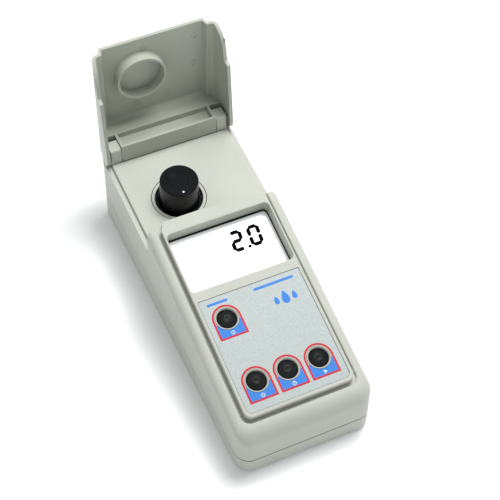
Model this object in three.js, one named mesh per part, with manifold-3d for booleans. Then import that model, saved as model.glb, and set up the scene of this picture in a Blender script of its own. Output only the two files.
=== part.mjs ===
// Portable wine photometer with a flip-up light lid, in millimetres.
// Body coordinates: X to the right, Y from the front edge to the rear, Z up from the table.
import * as THREE from "three";
import { mergeVertices } from "three/addons/utils/BufferGeometryUtils.js";
import Module from "manifold-3d";

const wasm = await Module();
wasm.setup();

// ---- driving dimensions ----

const GAP = 0.3;
const WALL = 2.4;

// case
const CASE_WIDTH = 85;
const CASE_LENGTH = 219.4;
const CORNER_RADIUS = 9;
const BASE_Z = 1.2;
const PARTING_FRONT_Z = 13.4;
const PARTING_REAR_Z = 22.1;
const SHOULDER_Z = 26;

// sloping control panel
const PANEL_FRONT_Z = 39.73;
const PANEL_SLOPE = 0.2122;
const PANEL_HALF = 34.2;
const PANEL_START_Y = 10.8;
const PANEL_END_Y = 138;
const RAIL_DROP = 3.4;
const RAIL_RADIUS = 5.5;
const LIP_DROP = 2.6;
const PANEL_WALL_Y = 136.9;
const LIP_END_Y = 141.3;
const LABEL = { half: 32.1, startY: 13.2, endY: 84.8, thick: 0.4, drop: 0.35 };
const WINDOW = { half: 32.9, startY: 91.4, endY: 130.6, radius: 3, depth: 8.4 };

// deck behind the panel, with the sample well
const DECK_SLOPE = 0.065;
const DECK_Z = 51.14;
const DECK_END_Y = 204.8;
const DECK_HALF = 39.1;
const LEDGE_DROP = 2.25;
const SHELF_Z = 52.7;
const WELL = { x: -10, y: 166.2, hole: 14.8, collar: 16.8 };

// lid, described in its open place: u runs up from the hinge, v runs back from it
const HINGE = { y: 210.4, z: 61.9, pinRadius: 1.75, lugInner: 32.2, lugOuter: 38.9 };
const LID = {
  wall: 2.2, length: 69.2, backV: 19.8, railV: 15.4, tailU: -7.8, knuckle: 8.1,
  edgeLean: 0.11, taper: 1.9, stepU: 46, stepDepth: 4.4, ledgeU: 6.4, panU: 2.4, bandV: -5.3,
  ringOuter: 16, ringInner: 14.4, ringHeight: 7,
};

// buttons
const BUTTON = { radius: 5.9, bore: 6.55, collar: 7, labelHole: 7.3, flange: 8.4 };
const BUTTON_PLACES = {
  power: [-20.1, 70.2],
  zero: [-19.6, 29.9],
  timer: [0, 29.9],
  read: [19.6, 29.9],
};

// circuit board, fixed parallel to the panel
const BOARD = { half: 36.4, startY: 26, endY: 131.5, top: -15.2, thick: 1.6 };

// battery and its door
const BATTERY = { half: 13.2, startY: 56, length: 48.5, bottomZ: 3.6, height: 17.5 };
const DOOR = { half: 15, startY: 52, endY: 112, thick: 2, travel: 12 };

const SCREW_PLACES = [[-35.2, 20], [35.2, 20], [-35.2, 199], [35.2, 199]];
const FOOT_PLACES = [[-31, 36], [31, 36], [-31, 184], [31, 184]];

// ---- values worked out from them ----

const HALF = CASE_WIDTH / 2;
const PANEL_ANGLE = Math.atan(PANEL_SLOPE);
const DECK_ANGLE = Math.atan(DECK_SLOPE);
const panelZ = (y) => PANEL_FRONT_Z + PANEL_SLOPE * y;
const railZ = (y) => panelZ(y) - RAIL_DROP;
const deckZ = (y) => DECK_Z + DECK_SLOPE * (y - LIP_END_Y);
const partingZ = (y) => PARTING_FRONT_Z + ((PARTING_REAR_Z - PARTING_FRONT_Z) * y) / CASE_LENGTH;
const alongPanel = (y) => y / Math.cos(PANEL_ANGLE);

// ---- materials ----

const finish = (color, roughness, metalness = 0) => new THREE.MeshStandardMaterial({ color, roughness, metalness });
const FINISH = {
  case: finish(0xcdcbbf, 0.55),
  dark: finish(0x16181a, 0.5),
  rubber: finish(0x111214, 0.7),
  label: finish(0xb9c2c8, 0.45),
  screen: finish(0xf2f5f4, 0.15),
  board: finish(0x1f6b3a, 0.5),
  chip: finish(0x1b1b1c, 0.4),
  metal: finish(0xb8bbbd, 0.35, 1),
  brass: finish(0xb08d4a, 0.35, 1),
  glass: finish(0xdfeaea, 0.05),
  foam: finish(0x333436, 0.95),
};

// ---- solid tools ----

function solid(geometry) {
  const bare = new THREE.BufferGeometry();
  bare.setAttribute("position", geometry.getAttribute("position"));
  if (geometry.index) {
    bare.setIndex(geometry.index);
  }
  const merged = mergeVertices(bare, 1e-5);
  const mesh = new wasm.Mesh({
    numProp: 3,
    vertProperties: new Float32Array(merged.getAttribute("position").array),
    triVerts: new Uint32Array(merged.index.array),
  });
  return new wasm.Manifold(mesh);
}

function geometryOf(body) {
  const mesh = body.getMesh();
  const geometry = new THREE.BufferGeometry();
  geometry.setAttribute("position", new THREE.BufferAttribute(new Float32Array(mesh.vertProperties), 3));
  geometry.setIndex(new THREE.BufferAttribute(new Uint32Array(mesh.triVerts), 1));
  const flat = geometry.toNonIndexed();
  flat.computeVertexNormals();
  return flat;
}

const unite = (...bodies) => bodies.reduce((whole, body) => whole.add(body));
const cut = (whole, ...tools) => tools.reduce((left, tool) => left.subtract(tool), whole);
const common = (...bodies) => bodies.reduce((whole, body) => whole.intersect(body));

// ---- outlines ----

function roundedRect(x0, y0, x1, y1, radius) {
  const shape = new THREE.Shape();
  shape.moveTo(x0 + radius, y0);
  shape.lineTo(x1 - radius, y0);
  shape.absarc(x1 - radius, y0 + radius, radius, -Math.PI / 2, 0);
  shape.lineTo(x1, y1 - radius);
  shape.absarc(x1 - radius, y1 - radius, radius, 0, Math.PI / 2);
  shape.lineTo(x0 + radius, y1);
  shape.absarc(x0 + radius, y1 - radius, radius, Math.PI / 2, Math.PI);
  shape.lineTo(x0, y0 + radius);
  shape.absarc(x0 + radius, y0 + radius, radius, Math.PI, Math.PI * 1.5);
  return shape;
}

function polygon(points) {
  return new THREE.Shape(points.map(([x, y]) => new THREE.Vector2(x, y)));
}

function extrude(shape, depth, curveSegments = 6) {
  return new THREE.ExtrudeGeometry(shape, { depth, bevelEnabled: false, curveSegments });
}

// an outline seen from above, extruded from z0 to z1
function upright(shape, z0, z1, curveSegments) {
  return extrude(shape, z1 - z0, curveSegments).translate(0, 0, z0);
}

// an outline of Y and Z, extruded from x0 to x1
function sideways(shape, x0, x1, curveSegments) {
  const turn = new THREE.Matrix4().makeBasis(
    new THREE.Vector3(0, 1, 0), new THREE.Vector3(0, 0, 1), new THREE.Vector3(1, 0, 0));
  return extrude(shape, x1 - x0, curveSegments).applyMatrix4(turn).translate(x0, 0, 0);
}

// an outline of X and Z, extruded from y0 to y1
function lengthways(shape, y0, y1, curveSegments) {
  const turn = new THREE.Matrix4().makeBasis(
    new THREE.Vector3(1, 0, 0), new THREE.Vector3(0, 0, 1), new THREE.Vector3(0, -1, 0));
  return extrude(shape, y1 - y0, curveSegments).applyMatrix4(turn).translate(0, y1, 0);
}

function box(x0, x1, y0, y1, z0, z1) {
  return new THREE.BoxGeometry(x1 - x0, y1 - y0, z1 - z0).translate((x0 + x1) / 2, (y0 + y1) / 2, (z0 + z1) / 2);
}

// a cylinder along Z
function post(x, y, radius, z0, z1, segments = 20) {
  return new THREE.CylinderGeometry(radius, radius, z1 - z0, segments)
    .rotateX(Math.PI / 2)
    .translate(x, y, (z0 + z1) / 2);
}

// a cylinder along X
function rod(x0, x1, y, z, radius, segments = 16) {
  return new THREE.CylinderGeometry(radius, radius, x1 - x0, segments)
    .rotateZ(Math.PI / 2)
    .translate((x0 + x1) / 2, y, z);
}

// a turned part about Z, from points of radius and height
function turned(points, segments = 24) {
  return new THREE.LatheGeometry(points.map(([r, h]) => new THREE.Vector2(r, h)), segments).rotateX(Math.PI / 2);
}

// ---- places ----

// from panel coordinates (x, distance up the slope, height above the panel) to the body
function onPanel(geometry) {
  return geometry.rotateX(PANEL_ANGLE).translate(0, 0, PANEL_FRONT_Z);
}

// from well coordinates (centred on the well, height above the deck) to the body
function onDeck(geometry) {
  return geometry.rotateX(DECK_ANGLE).translate(WELL.x, WELL.y, deckZ(WELL.y));
}

function panelBox(half, y0, y1, h0, h1, radius = 0) {
  if (radius === 0) {
    return onPanel(box(-half, half, alongPanel(y0), alongPanel(y1), h0, h1));
  }
  return onPanel(upright(roundedRect(-half, alongPanel(y0), half, alongPanel(y1), radius), h0, h1));
}

// raise every point by the panel's slope times its distance back
function sheared(geometry) {
  const shear = new THREE.Matrix4().set(1, 0, 0, 0, 0, 1, 0, 0, 0, PANEL_SLOPE, 1, 0, 0, 0, 0, 1);
  return geometry.applyMatrix4(shear);
}

// ---- case ----

function plan(inset, z0, z1) {
  const radius = CORNER_RADIUS - inset;
  return upright(roundedRect(-HALF + inset, inset, HALF - inset, CASE_LENGTH - inset, radius), z0, z1);
}

function upperSide(inset, drop, deckDrop) {
  const shape = new THREE.Shape();
  shape.moveTo(inset, partingZ(inset) + GAP / 2 - (inset > 0 ? 12 : 0));
  shape.lineTo(inset + 0.6, SHOULDER_Z - drop / 2);
  shape.quadraticCurveTo(inset + 1.2, railZ(5) - drop, 9.6 + inset, railZ(9.6 + inset) - drop);
  const stepY = inset > 0 ? PANEL_WALL_Y : LIP_END_Y;
  shape.lineTo(stepY, railZ(stepY) - drop);
  shape.lineTo(stepY, deckZ(stepY) - deckDrop);
  shape.lineTo(DECK_END_Y - inset, deckZ(DECK_END_Y - inset) - deckDrop);
  shape.lineTo(DECK_END_Y - inset, SHELF_Z - Math.max(drop, deckDrop));
  shape.lineTo(CASE_LENGTH - inset - 0.5, SHELF_Z - Math.max(drop, deckDrop));
  shape.lineTo(CASE_LENGTH - inset, partingZ(CASE_LENGTH) + GAP / 2 - (inset > 0 ? 12 : 0));
  return sideways(shape, -HALF - 1, HALF + 1, 8);
}

function railSection(inset) {
  const half = HALF - inset;
  const top = PANEL_FRONT_Z - RAIL_DROP - inset;
  const radius = RAIL_RADIUS - inset;
  const shape = new THREE.Shape();
  shape.moveTo(-half, -60);
  shape.lineTo(half, -60);
  shape.lineTo(half, top - radius);
  shape.absarc(half - radius, top - radius, radius, 0, Math.PI / 2);
  shape.lineTo(-half + radius, top);
  shape.absarc(-half + radius, top - radius, radius, Math.PI / 2, Math.PI);
  return sheared(lengthways(shape, -5, CASE_LENGTH + 5, 6));
}

function hingeLug(side) {
  const inner = side * HINGE.lugInner;
  const outer = side * HINGE.lugOuter;
  const outline = roundedRect(HINGE.y - 5.3, SHELF_Z - 1, HINGE.y + 4, HINGE.z + 4.8, 1.2);
  return sideways(outline, Math.min(inner, outer), Math.max(inner, outer), 3);
}

function topShell() {
  const ledge = (side) => {
    const lift = deckZ(LIP_END_Y) - LEDGE_DROP;
    const rear = deckZ(DECK_END_Y) - LEDGE_DROP;
    const outline = polygon([
      [LIP_END_Y + 2.4, lift], [DECK_END_Y, rear], [CASE_LENGTH + 2, rear], [CASE_LENGTH + 2, 90], [LIP_END_Y, 90],
    ]);
    const inner = side * DECK_HALF;
    const outer = side * (HALF + 2);
    return solid(sideways(outline, Math.min(inner, outer), Math.max(inner, outer)));
  };
  // the rails stop short of the lip, to let the closed lid's front corners down beside it
  const railEnd = (side) => {
    const outline = polygon([[138.1, 72], [141, 52], [145, 52], [145, 72]]);
    const inner = side * 31.9;
    const outer = side * (HALF + 2);
    return solid(sideways(outline, Math.min(inner, outer), Math.max(inner, outer)));
  };
  const outer = cut(
    common(solid(upperSide(0, 0, 0)), solid(railSection(0)), solid(plan(0, 0, 120))),
    ledge(-1), ledge(1), railEnd(-1), railEnd(1));
  const panel = solid(panelBox(PANEL_HALF, PANEL_START_Y, PANEL_END_Y, -7, 0, 4.5));
  const lip = solid(panelBox(32.4, PANEL_END_Y - 12, LIP_END_Y + 0.4, -7, -LIP_DROP, 3));
  const body = unite(outer, panel, lip);

  const hollow = common(
    solid(upperSide(WALL, WALL, WALL + LEDGE_DROP)), solid(railSection(WALL)), solid(plan(WALL, 0, 120)));
  const underDeck = solid(sideways(polygon([
    [PANEL_WALL_Y + 2, 30], [DECK_END_Y - WALL, 30],
    [DECK_END_Y - WALL, deckZ(DECK_END_Y) - WALL], [PANEL_WALL_Y + 2, deckZ(PANEL_WALL_Y + 2) - WALL],
  ]), -DECK_HALF + WALL, DECK_HALF - WALL));
  const underPanel = solid(panelBox(31.6, PANEL_START_Y + 2.8, PANEL_END_Y - 4, -12, -WALL));
  const shell = cut(body, hollow, underDeck, underPanel);

  const frame = solid(panelBox(WINDOW.half + 1.25, WINDOW.startY - 1.6, WINDOW.endY + 1.6, -WINDOW.depth, -WALL + 0.2));
  const lug = (side) => solid(hingeLug(side));
  const roof = (y) => (y < LIP_END_Y ? railZ(y) : SHELF_Z) - 1.2;
  const screwPost = ([x, y]) => solid(post(x, y, 3.6, partingZ(y) - 3, roof(y)));
  const posts = SCREW_PLACES.map(screwPost);
  const full = unite(shell, frame, lug(-1), lug(1), ...posts);

  const windowHole = solid(panelBox(WINDOW.half, WINDOW.startY, WINDOW.endY, -12, 4, WINDOW.radius));
  const labelBed = solid(panelBox(LABEL.half + 0.2, LABEL.startY - 0.2, LABEL.endY + 0.2, -LABEL.drop - LABEL.thick - GAP, 4));
  const buttonCollar = ([x, y]) => solid(onPanel(post(x, alongPanel(y), BUTTON.collar, -1.5, -0.15, 28)));
  const buttonHole = ([x, y]) => solid(onPanel(post(x, alongPanel(y), BUTTON.bore, -8, 4, 28)));
  const places = Object.values(BUTTON_PLACES);
  const wellHole = solid(onDeck(post(0, 0, WELL.collar + GAP, -6, 20, 40)));
  const pilot = ([x, y]) => solid(post(x, y, 1.6, partingZ(y) - 4, partingZ(y) + 10, 12));
  const pinHole = solid(rod(-HALF, HALF, HINGE.y, HINGE.z, HINGE.pinRadius + GAP));
  const bedded = unite(cut(full, windowHole, labelBed, wellHole, pinHole), ...places.map(buttonCollar));
  return cut(bedded, ...places.map(buttonHole), ...SCREW_PLACES.map(pilot));
}

function bottomShell() {
  const side = (inset, z0) => solid(sideways(polygon([
    [inset, z0], [CASE_LENGTH - inset, z0],
    [CASE_LENGTH - inset, partingZ(CASE_LENGTH - inset) - GAP / 2 + inset],
    [inset, partingZ(inset) - GAP / 2 + inset],
  ]), -HALF, HALF));
  const foot = solid(plan(1.2, BASE_Z, BASE_Z + 3));
  const rise = solid(plan(0, BASE_Z + 1.2, 40));
  const outer = common(unite(foot, rise), side(0, BASE_Z));
  const hollow = common(solid(plan(WALL, BASE_Z + WALL, 60)), side(WALL, BASE_Z + WALL));
  const slideBed = solid(box(-DOOR.half - 2, DOOR.half + 2, DOOR.startY - DOOR.travel - 2, DOOR.startY + 1, BASE_Z, 6));
  const cradle = cut(
    solid(box(-15.6, 15.6, BATTERY.startY - 2.4, BATTERY.startY + BATTERY.length + 6.4, BASE_Z, 17)),
    solid(box(-13.8, 13.8, BATTERY.startY - 0.6, BATTERY.startY + BATTERY.length + 4.6, 0, 20)));
  const standoff = ([x, y]) => solid(post(x, y, 4.4, BASE_Z, partingZ(y) - 3.4));
  const body = unite(cut(outer, hollow), slideBed, cradle, ...SCREW_PLACES.map(standoff));

  const clear = GAP;
  const doorHole = solid(box(
    -DOOR.half - clear, DOOR.half + clear, DOOR.startY - DOOR.travel - clear, DOOR.endY + clear, 0, BASE_Z + DOOR.thick + clear));
  const batteryHole = solid(box(-13.8, 13.8, BATTERY.startY - 0.6, BATTERY.startY + BATTERY.length + 4.6, 0, 6.5));
  const screwHole = ([x, y]) => solid(turned([[0, -1], [3.2, -1], [3.2, 4.4], [1.7, 4.4], [1.7, 30], [0, 30]], 16)
    .translate(x, y, BASE_Z));
  const footBed = ([x, y]) => solid(post(x, y, 5.3, 0, BASE_Z + 1));
  return cut(body, doorHole, batteryHole, ...SCREW_PLACES.map(screwHole), ...FOOT_PLACES.map(footBed));
}

function caseScrew([x, y]) {
  const shaft = partingZ(y) + 5;
  return turned([[0, 3.2], [2.8, 3.2], [2.8, 5.2], [1.3, 5.2], [1.3, shaft], [0, shaft]], 14).translate(x, y, 0);
}

function foot([x, y]) {
  return turned([[0, 0], [4.4, 0], [4.9, 0.5], [4.9, BASE_Z + 0.7], [0, BASE_Z + 0.7]], 20).translate(x, y, 0);
}

function batteryDoor() {
  const plate = solid(upright(
    roundedRect(-DOOR.half, DOOR.startY, DOOR.half, DOOR.endY, 1.5), BASE_Z, BASE_Z + DOOR.thick, 3));
  const groove = (index) => solid(box(-7, 7, DOOR.startY + 5 + index * 2.4, DOOR.startY + 6.2 + index * 2.4, 0, BASE_Z + 0.5));
  return cut(plate, groove(0), groove(1), groove(2), groove(3));
}

// ---- lid ----

function lidSide() {
  const edge = (u) => -LID.knuckle + LID.edgeLean * u;
  const shape = new THREE.Shape();
  shape.moveTo(edge(1.2), 1.2);
  shape.lineTo(edge(LID.stepU), LID.stepU);
  shape.lineTo(edge(LID.stepU) + LID.stepDepth, LID.stepU + 1);
  shape.lineTo(edge(54) + LID.stepDepth, 54);
  shape.quadraticCurveTo(edge(66) + LID.stepDepth, 66, LID.railV - 3, LID.length);
  shape.lineTo(LID.backV + 1, LID.length);
  shape.lineTo(LID.backV + 1, -12);
  shape.lineTo(0, -12);
  shape.lineTo(0, -LID.knuckle);
  shape.absarc(0, 0, LID.knuckle, -Math.PI / 2, -Math.PI, true);
  return sideways(shape, -HALF, HALF, 8).translate(0, HINGE.y, HINGE.z);
}

function lidSection(inset, u0, u1) {
  const half = HALF - inset;
  const rail = LID.railV - inset;
  const back = LID.backV - inset;
  const radius = 5 - inset;
  const narrow = half - LID.taper;
  const shape = new THREE.Shape();
  shape.moveTo(-half, -14);
  shape.lineTo(half, -14);
  shape.lineTo(half, 0);
  shape.lineTo(narrow, rail - radius);
  shape.absarc(narrow - radius, rail - radius, radius, 0, Math.PI / 2);
  shape.lineTo(35.2 - inset * 0.5, rail);
  shape.lineTo(33.6 - inset * 0.6, back);
  shape.lineTo(-33.6 + inset * 0.6, back);
  shape.lineTo(-35.2 + inset * 0.5, rail);
  shape.lineTo(-narrow + radius, rail);
  shape.absarc(-narrow + radius, rail - radius, radius, Math.PI / 2, Math.PI);
  shape.lineTo(-half, 0);
  return upright(shape, u0, u1, 6).translate(0, HINGE.y, HINGE.z);
}

function lidBox(x0, x1, v0, v1, u0, u1) {
  return solid(box(x0, x1, HINGE.y + v0, HINGE.y + v1, HINGE.z + u0, HINGE.z + u1));
}

function lidTail() {
  const shape = new THREE.Shape();
  shape.moveTo(-9, LID.tailU);
  shape.lineTo(LID.backV - 5, LID.tailU);
  shape.absarc(LID.backV - 5, LID.tailU + 5, 5, -Math.PI / 2, 0);
  shape.lineTo(LID.backV, 90);
  shape.lineTo(-9, 90);
  return sideways(shape, -HALF, HALF, 6).translate(0, HINGE.y, HINGE.z);
}

function flipLid() {
  const outer = common(solid(lidSection(0, LID.tailU, LID.length)), solid(lidSide()), solid(lidTail()));
  const hollow = solid(lidSection(LID.wall, LID.tailU + LID.wall, LID.length + 5));
  const shell = cut(outer, hollow);

  const inner = LID.backV - LID.wall;
  const shelf = lidBox(-HALF + 1, HALF - 1, 6.4, inner + 0.2, LID.tailU + 0.6, LID.ledgeU);
  const floor = lidBox(-HALF + 1, HALF - 1, -4, 7, LID.tailU + 0.6, LID.tailU + LID.wall);
  const band = lidBox(-HINGE.lugInner + GAP, HINGE.lugInner - GAP, LID.bandV, LID.bandV + 1.8, LID.tailU + 1.3, LID.ledgeU);
  const pan = lidBox(-HINGE.lugInner + GAP, HINGE.lugInner - GAP, LID.bandV, 7, LID.tailU + 0.6, LID.panU);
  const rib = (side) => {
    const near = side * (HINGE.lugInner - GAP);
    const far = side * (HINGE.lugInner - GAP - 1.8);
    return lidBox(Math.min(near, far), Math.max(near, far), LID.bandV, 7, LID.tailU + 0.6, LID.ledgeU);
  };
  const fittings = common(unite(shelf, floor, band, pan, rib(-1), rib(1)), solid(lidSection(0.6, LID.tailU, LID.length)));

  const ringU = 42.7;
  const ring = solid(new THREE.LatheGeometry([
    new THREE.Vector2(LID.ringInner, 0), new THREE.Vector2(LID.ringOuter, 0),
    new THREE.Vector2(LID.ringOuter, LID.ringHeight + 0.3), new THREE.Vector2(LID.ringInner, LID.ringHeight + 0.3),
    new THREE.Vector2(LID.ringInner, 0),
  ], 40).translate(WELL.x, HINGE.y + inner - LID.ringHeight, HINGE.z + ringU));

  const slot = (side) => {
    const near = side * (HINGE.lugInner - GAP);
    const far = side * (HALF - LID.wall);
    return lidBox(Math.min(near, far), Math.max(near, far), -12, 6.3, -12, LID.ledgeU + 1);
  };
  const pinHole = solid(rod(-HALF + 1, HALF - 1, HINGE.y, HINGE.z, HINGE.pinRadius + GAP));
  return cut(unite(shell, fittings, ring), slot(-1), slot(1), pinHole);
}

function hingePin(side) {
  const near = side * (HINGE.lugInner - 3);
  const far = side * (HALF - 1.4);
  return rod(Math.min(near, far), Math.max(near, far), HINGE.y, HINGE.z, HINGE.pinRadius, 20);
}

// ---- control panel ----

function label() {
  const sheet = solid(panelBox(LABEL.half, LABEL.startY, LABEL.endY, -LABEL.drop - LABEL.thick, -LABEL.drop));
  const hole = ([x, y]) => solid(onPanel(post(x, alongPanel(y), BUTTON.labelHole, -3, 3, 28)));
  return cut(sheet, ...Object.values(BUTTON_PLACES).map(hole));
}

function button([x, y]) {
  const profile = [
    [0, -8], [2.4, -8], [2.4, -5], [BUTTON.flange, -5], [BUTTON.flange, -3.4],
    [BUTTON.radius, -3.4], [BUTTON.radius, -2.4], [5.4, -1.7], [4.1, -1.15], [2.1, -0.75], [0, -0.65],
  ];
  return onPanel(turned(profile, 28).translate(x, alongPanel(y), 0));
}

function buttonSwitch([x, y]) {
  const body = solid(box(-3, 3, -3, 3, BOARD.top + GAP, BOARD.top + 4.2));
  const plunger = solid(post(0, 0, 1.7, BOARD.top + 4, BOARD.top + 5.6, 14));
  return solid(onPanel(geometryOf(unite(body, plunger)).translate(x, alongPanel(y), 0)));
}

function screenGlass() {
  return panelBox(35, WINDOW.startY - 1.8, WINDOW.endY + 1.3, -10.8, -8.8);
}

function screenBacking() {
  return panelBox(35, WINDOW.startY + 1.6, WINDOW.endY + 1.3, -11.8, -11.1);
}

function screenConnector() {
  return panelBox(33, WINDOW.startY - 1.4, WINDOW.startY + 1.2, BOARD.top + GAP, -11.1);
}

function screenFrame() {
  const outer = solid(panelBox(36.6, WINDOW.startY - 3.6, WINDOW.endY + 2.4, BOARD.top + GAP, -9.4));
  const inner = solid(panelBox(35.3, WINDOW.startY - 2.1, WINDOW.endY + 1.6, -20, 0));
  return cut(outer, inner);
}

function mainBoard() {
  const h0 = BOARD.top - BOARD.thick;
  const board = solid(panelBox(BOARD.half, BOARD.startY, BOARD.endY, h0, BOARD.top));
  const hole = (x) => solid(onPanel(post(x, alongPanel(84), 1.7, h0 - 1, BOARD.top + 1, 12)));
  return cut(board, hole(-31), hole(31));
}

function underBoard(x, y, width, length, height) {
  const h1 = BOARD.top - BOARD.thick - GAP;
  const s = alongPanel(y);
  return onPanel(box(x - width / 2, x + width / 2, s - length / 2, s + length / 2, h1 - height, h1));
}

function boardScrew(x) {
  const h = BOARD.top;
  return onPanel(turned([[0, h - 6], [1.4, h - 6], [1.4, h + GAP], [2.6, h + GAP], [2.6, h + 1.9], [0, h + 1.9]], 14)
    .translate(x, alongPanel(84), 0));
}

function buzzer() {
  const h1 = BOARD.top - BOARD.thick - GAP;
  return onPanel(turned([[0, h1 - 6.5], [6, h1 - 6.5], [6, h1], [0, h1]], 20).translate(24, alongPanel(62), 0));
}

// ---- battery ----

function battery() {
  const { half, startY, length, bottomZ, height } = BATTERY;
  const can = solid(upright(roundedRect(-half, startY, half, startY + length - 2, 2), bottomZ, bottomZ + height, 3));
  const stud = (x) => solid(new THREE.CylinderGeometry(3, 3, 3, 14).translate(x, startY + length - 1.5, bottomZ + height / 2));
  return unite(can, stud(-6.3), stud(6.3));
}

function batterySnap() {
  const { startY, length, bottomZ, height } = BATTERY;
  const y0 = startY + length + GAP;
  return box(-12.6, 12.6, y0, y0 + 3, bottomZ + 1.2, bottomZ + height - 1.2);
}

// ---- sample well and optics, in well coordinates ----

function wellCollar() {
  return onDeck(turned([
    [WELL.hole, -3.4], [WELL.collar, -3.4], [WELL.collar, -0.4], [WELL.collar - 0.4, 0],
    [WELL.hole + 0.4, 0], [WELL.hole, -0.4], [WELL.hole, -3.4],
  ], 40));
}

function sampleHolder() {
  const block = solid(box(-18, 18, -17, 17, -46, -9));
  const tube = solid(post(0, 0, 14.2, -10, -1.6, 36));
  const bore = solid(post(0, 0, 12.7, -43.5, 2, 36));
  const path = solid(rod(-20, 20, 0, -27, 3.6, 16));
  return solid(onDeck(geometryOf(cut(unite(block, tube), bore, path))));
}

function holderGasket() {
  return onDeck(turned([[14.6, -8.7], [17.4, -8.7], [17.4, -4.2], [14.6, -4.2], [14.6, -8.7]], 28));
}

function sampleVial() {
  return onDeck(turned([
    [0, -43.1], [12.3, -43.1], [12.3, -5], [11.4, -3], [9, -2], [9, 8], [7.9, 8],
    [7.9, -2.2], [10.9, -4.6], [11.1, -41.6], [0, -41.6],
  ], 32));
}

function vialCap() {
  const shell = turned([
    [9.3, -1.6], [12.1, -1.6], [12.1, 0.5], [11.9, 16.4], [10.9, 17.4], [0, 17.4],
    [0, 4], [7.5, 4], [7.5, 14.2], [9.3, 14.2], [9.3, -1.6],
  ], 36);
  return onDeck(shell);
}

function lampHousing() {
  const outer = solid(box(-27.2, -18.3, -7, 7, -34, -20));
  const bore = solid(rod(-25.6, -18, 0, -27, 4.6, 16));
  return solid(onDeck(geometryOf(cut(outer, bore))));
}

function lamp() {
  const bulb = new THREE.LatheGeometry([
    new THREE.Vector2(0, 0), new THREE.Vector2(2.6, 0), new THREE.Vector2(2.6, 3.2),
    new THREE.Vector2(1.8, 4.6), new THREE.Vector2(0, 5.2),
  ], 16).rotateZ(-Math.PI / 2);
  return onDeck(bulb.translate(-25.2, 0, -27));
}

function lightLens() {
  return onDeck(rod(-17.4, -14.8, 0, -27, 3.2, 20));
}

function lightFilter() {
  return onDeck(rod(14.6, 17.4, 0, -27, 3.2, 20));
}

function detectorHousing() {
  const outer = solid(box(18.3, 26, -7, 7, -34, -20));
  const bore = solid(rod(18, 24.4, 0, -27, 4.6, 16));
  return solid(onDeck(geometryOf(cut(outer, bore))));
}

function photocell() {
  return onDeck(rod(20.4, 24, 0, -27, 4.1, 18));
}

function detectorBoard() {
  return onDeck(box(26.3, 27.9, -11, 11, -40, -16));
}

// ---- assembly ----

const instrument = new THREE.Group();

function add(name, part, material) {
  const geometry = part.isBufferGeometry ? part : geometryOf(part);
  const mesh = new THREE.Mesh(geometry, material);
  mesh.name = name;
  instrument.add(mesh);
}

add("bottom_shell", bottomShell(), FINISH.case);
add("top_shell", topShell(), FINISH.case);
add("flip_lid", flipLid(), FINISH.case);
add("hinge_pin_left", hingePin(-1), FINISH.metal);
add("hinge_pin_right", hingePin(1), FINISH.metal);
add("battery_door", batteryDoor(), FINISH.case);
add("battery", battery(), FINISH.metal);
add("battery_snap", batterySnap(), FINISH.rubber);
add("panel_label", label(), FINISH.label);
add("screen_glass", screenGlass(), FINISH.screen);
add("screen_backing", screenBacking(), FINISH.metal);
add("screen_connector", screenConnector(), FINISH.rubber);
add("screen_frame", screenFrame(), FINISH.dark);
add("main_board", mainBoard(), FINISH.board);
add("controller_chip", underBoard(0, 66, 14, 14, 1.8), FINISH.chip);
add("amplifier_chip", underBoard(-20, 100, 10, 8, 1.6), FINISH.chip);
add("voltage_regulator", underBoard(22, 104, 6, 5, 3), FINISH.chip);
add("buzzer", buzzer(), FINISH.dark);
add("board_screw_left", boardScrew(-31), FINISH.metal);
add("board_screw_right", boardScrew(31), FINISH.metal);
for (const [name, place] of Object.entries(BUTTON_PLACES)) {
  add(`button_${name}`, button(place), FINISH.rubber);
  add(`switch_${name}`, buttonSwitch(place), FINISH.dark);
}
add("well_collar", wellCollar(), FINISH.case);
add("sample_holder", sampleHolder(), FINISH.dark);
add("holder_gasket", holderGasket(), FINISH.foam);
add("sample_vial", sampleVial(), FINISH.glass);
add("vial_cap", vialCap(), FINISH.dark);
add("lamp_housing", lampHousing(), FINISH.dark);
add("lamp", lamp(), FINISH.glass);
add("light_lens", lightLens(), FINISH.glass);
add("light_filter", lightFilter(), FINISH.brass);
add("detector_housing", detectorHousing(), FINISH.dark);
add("photocell", photocell(), FINISH.metal);
add("detector_board", detectorBoard(), FINISH.board);
SCREW_PLACES.forEach((place, index) => add(`case_screw_${index + 1}`, caseScrew(place), FINISH.metal));
FOOT_PLACES.forEach((place, index) => add(`foot_${index + 1}`, foot(place), FINISH.rubber));

// the frame's origin is under the middle of the whole object, lid open, on the table
const bounds = new THREE.Box3().setFromObject(instrument);
instrument.position.set(0, -(bounds.min.y + bounds.max.y) / 2, 0);

const part = new THREE.Group();
part.add(instrument);
export default part;
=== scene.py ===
"""Looks of the portable wine photometer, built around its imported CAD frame.

Lengths inside the classes are millimetres in case coordinates (X right, Y back from the
front edge, Z up from the table); Datum turns them into the scene's metres.
"""

import logging
import math
from dataclasses import dataclass
from enum import Enum
from typing import Any, Iterable, Sequence

import bmesh
import bpy
from mathutils import Matrix, Vector


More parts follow.
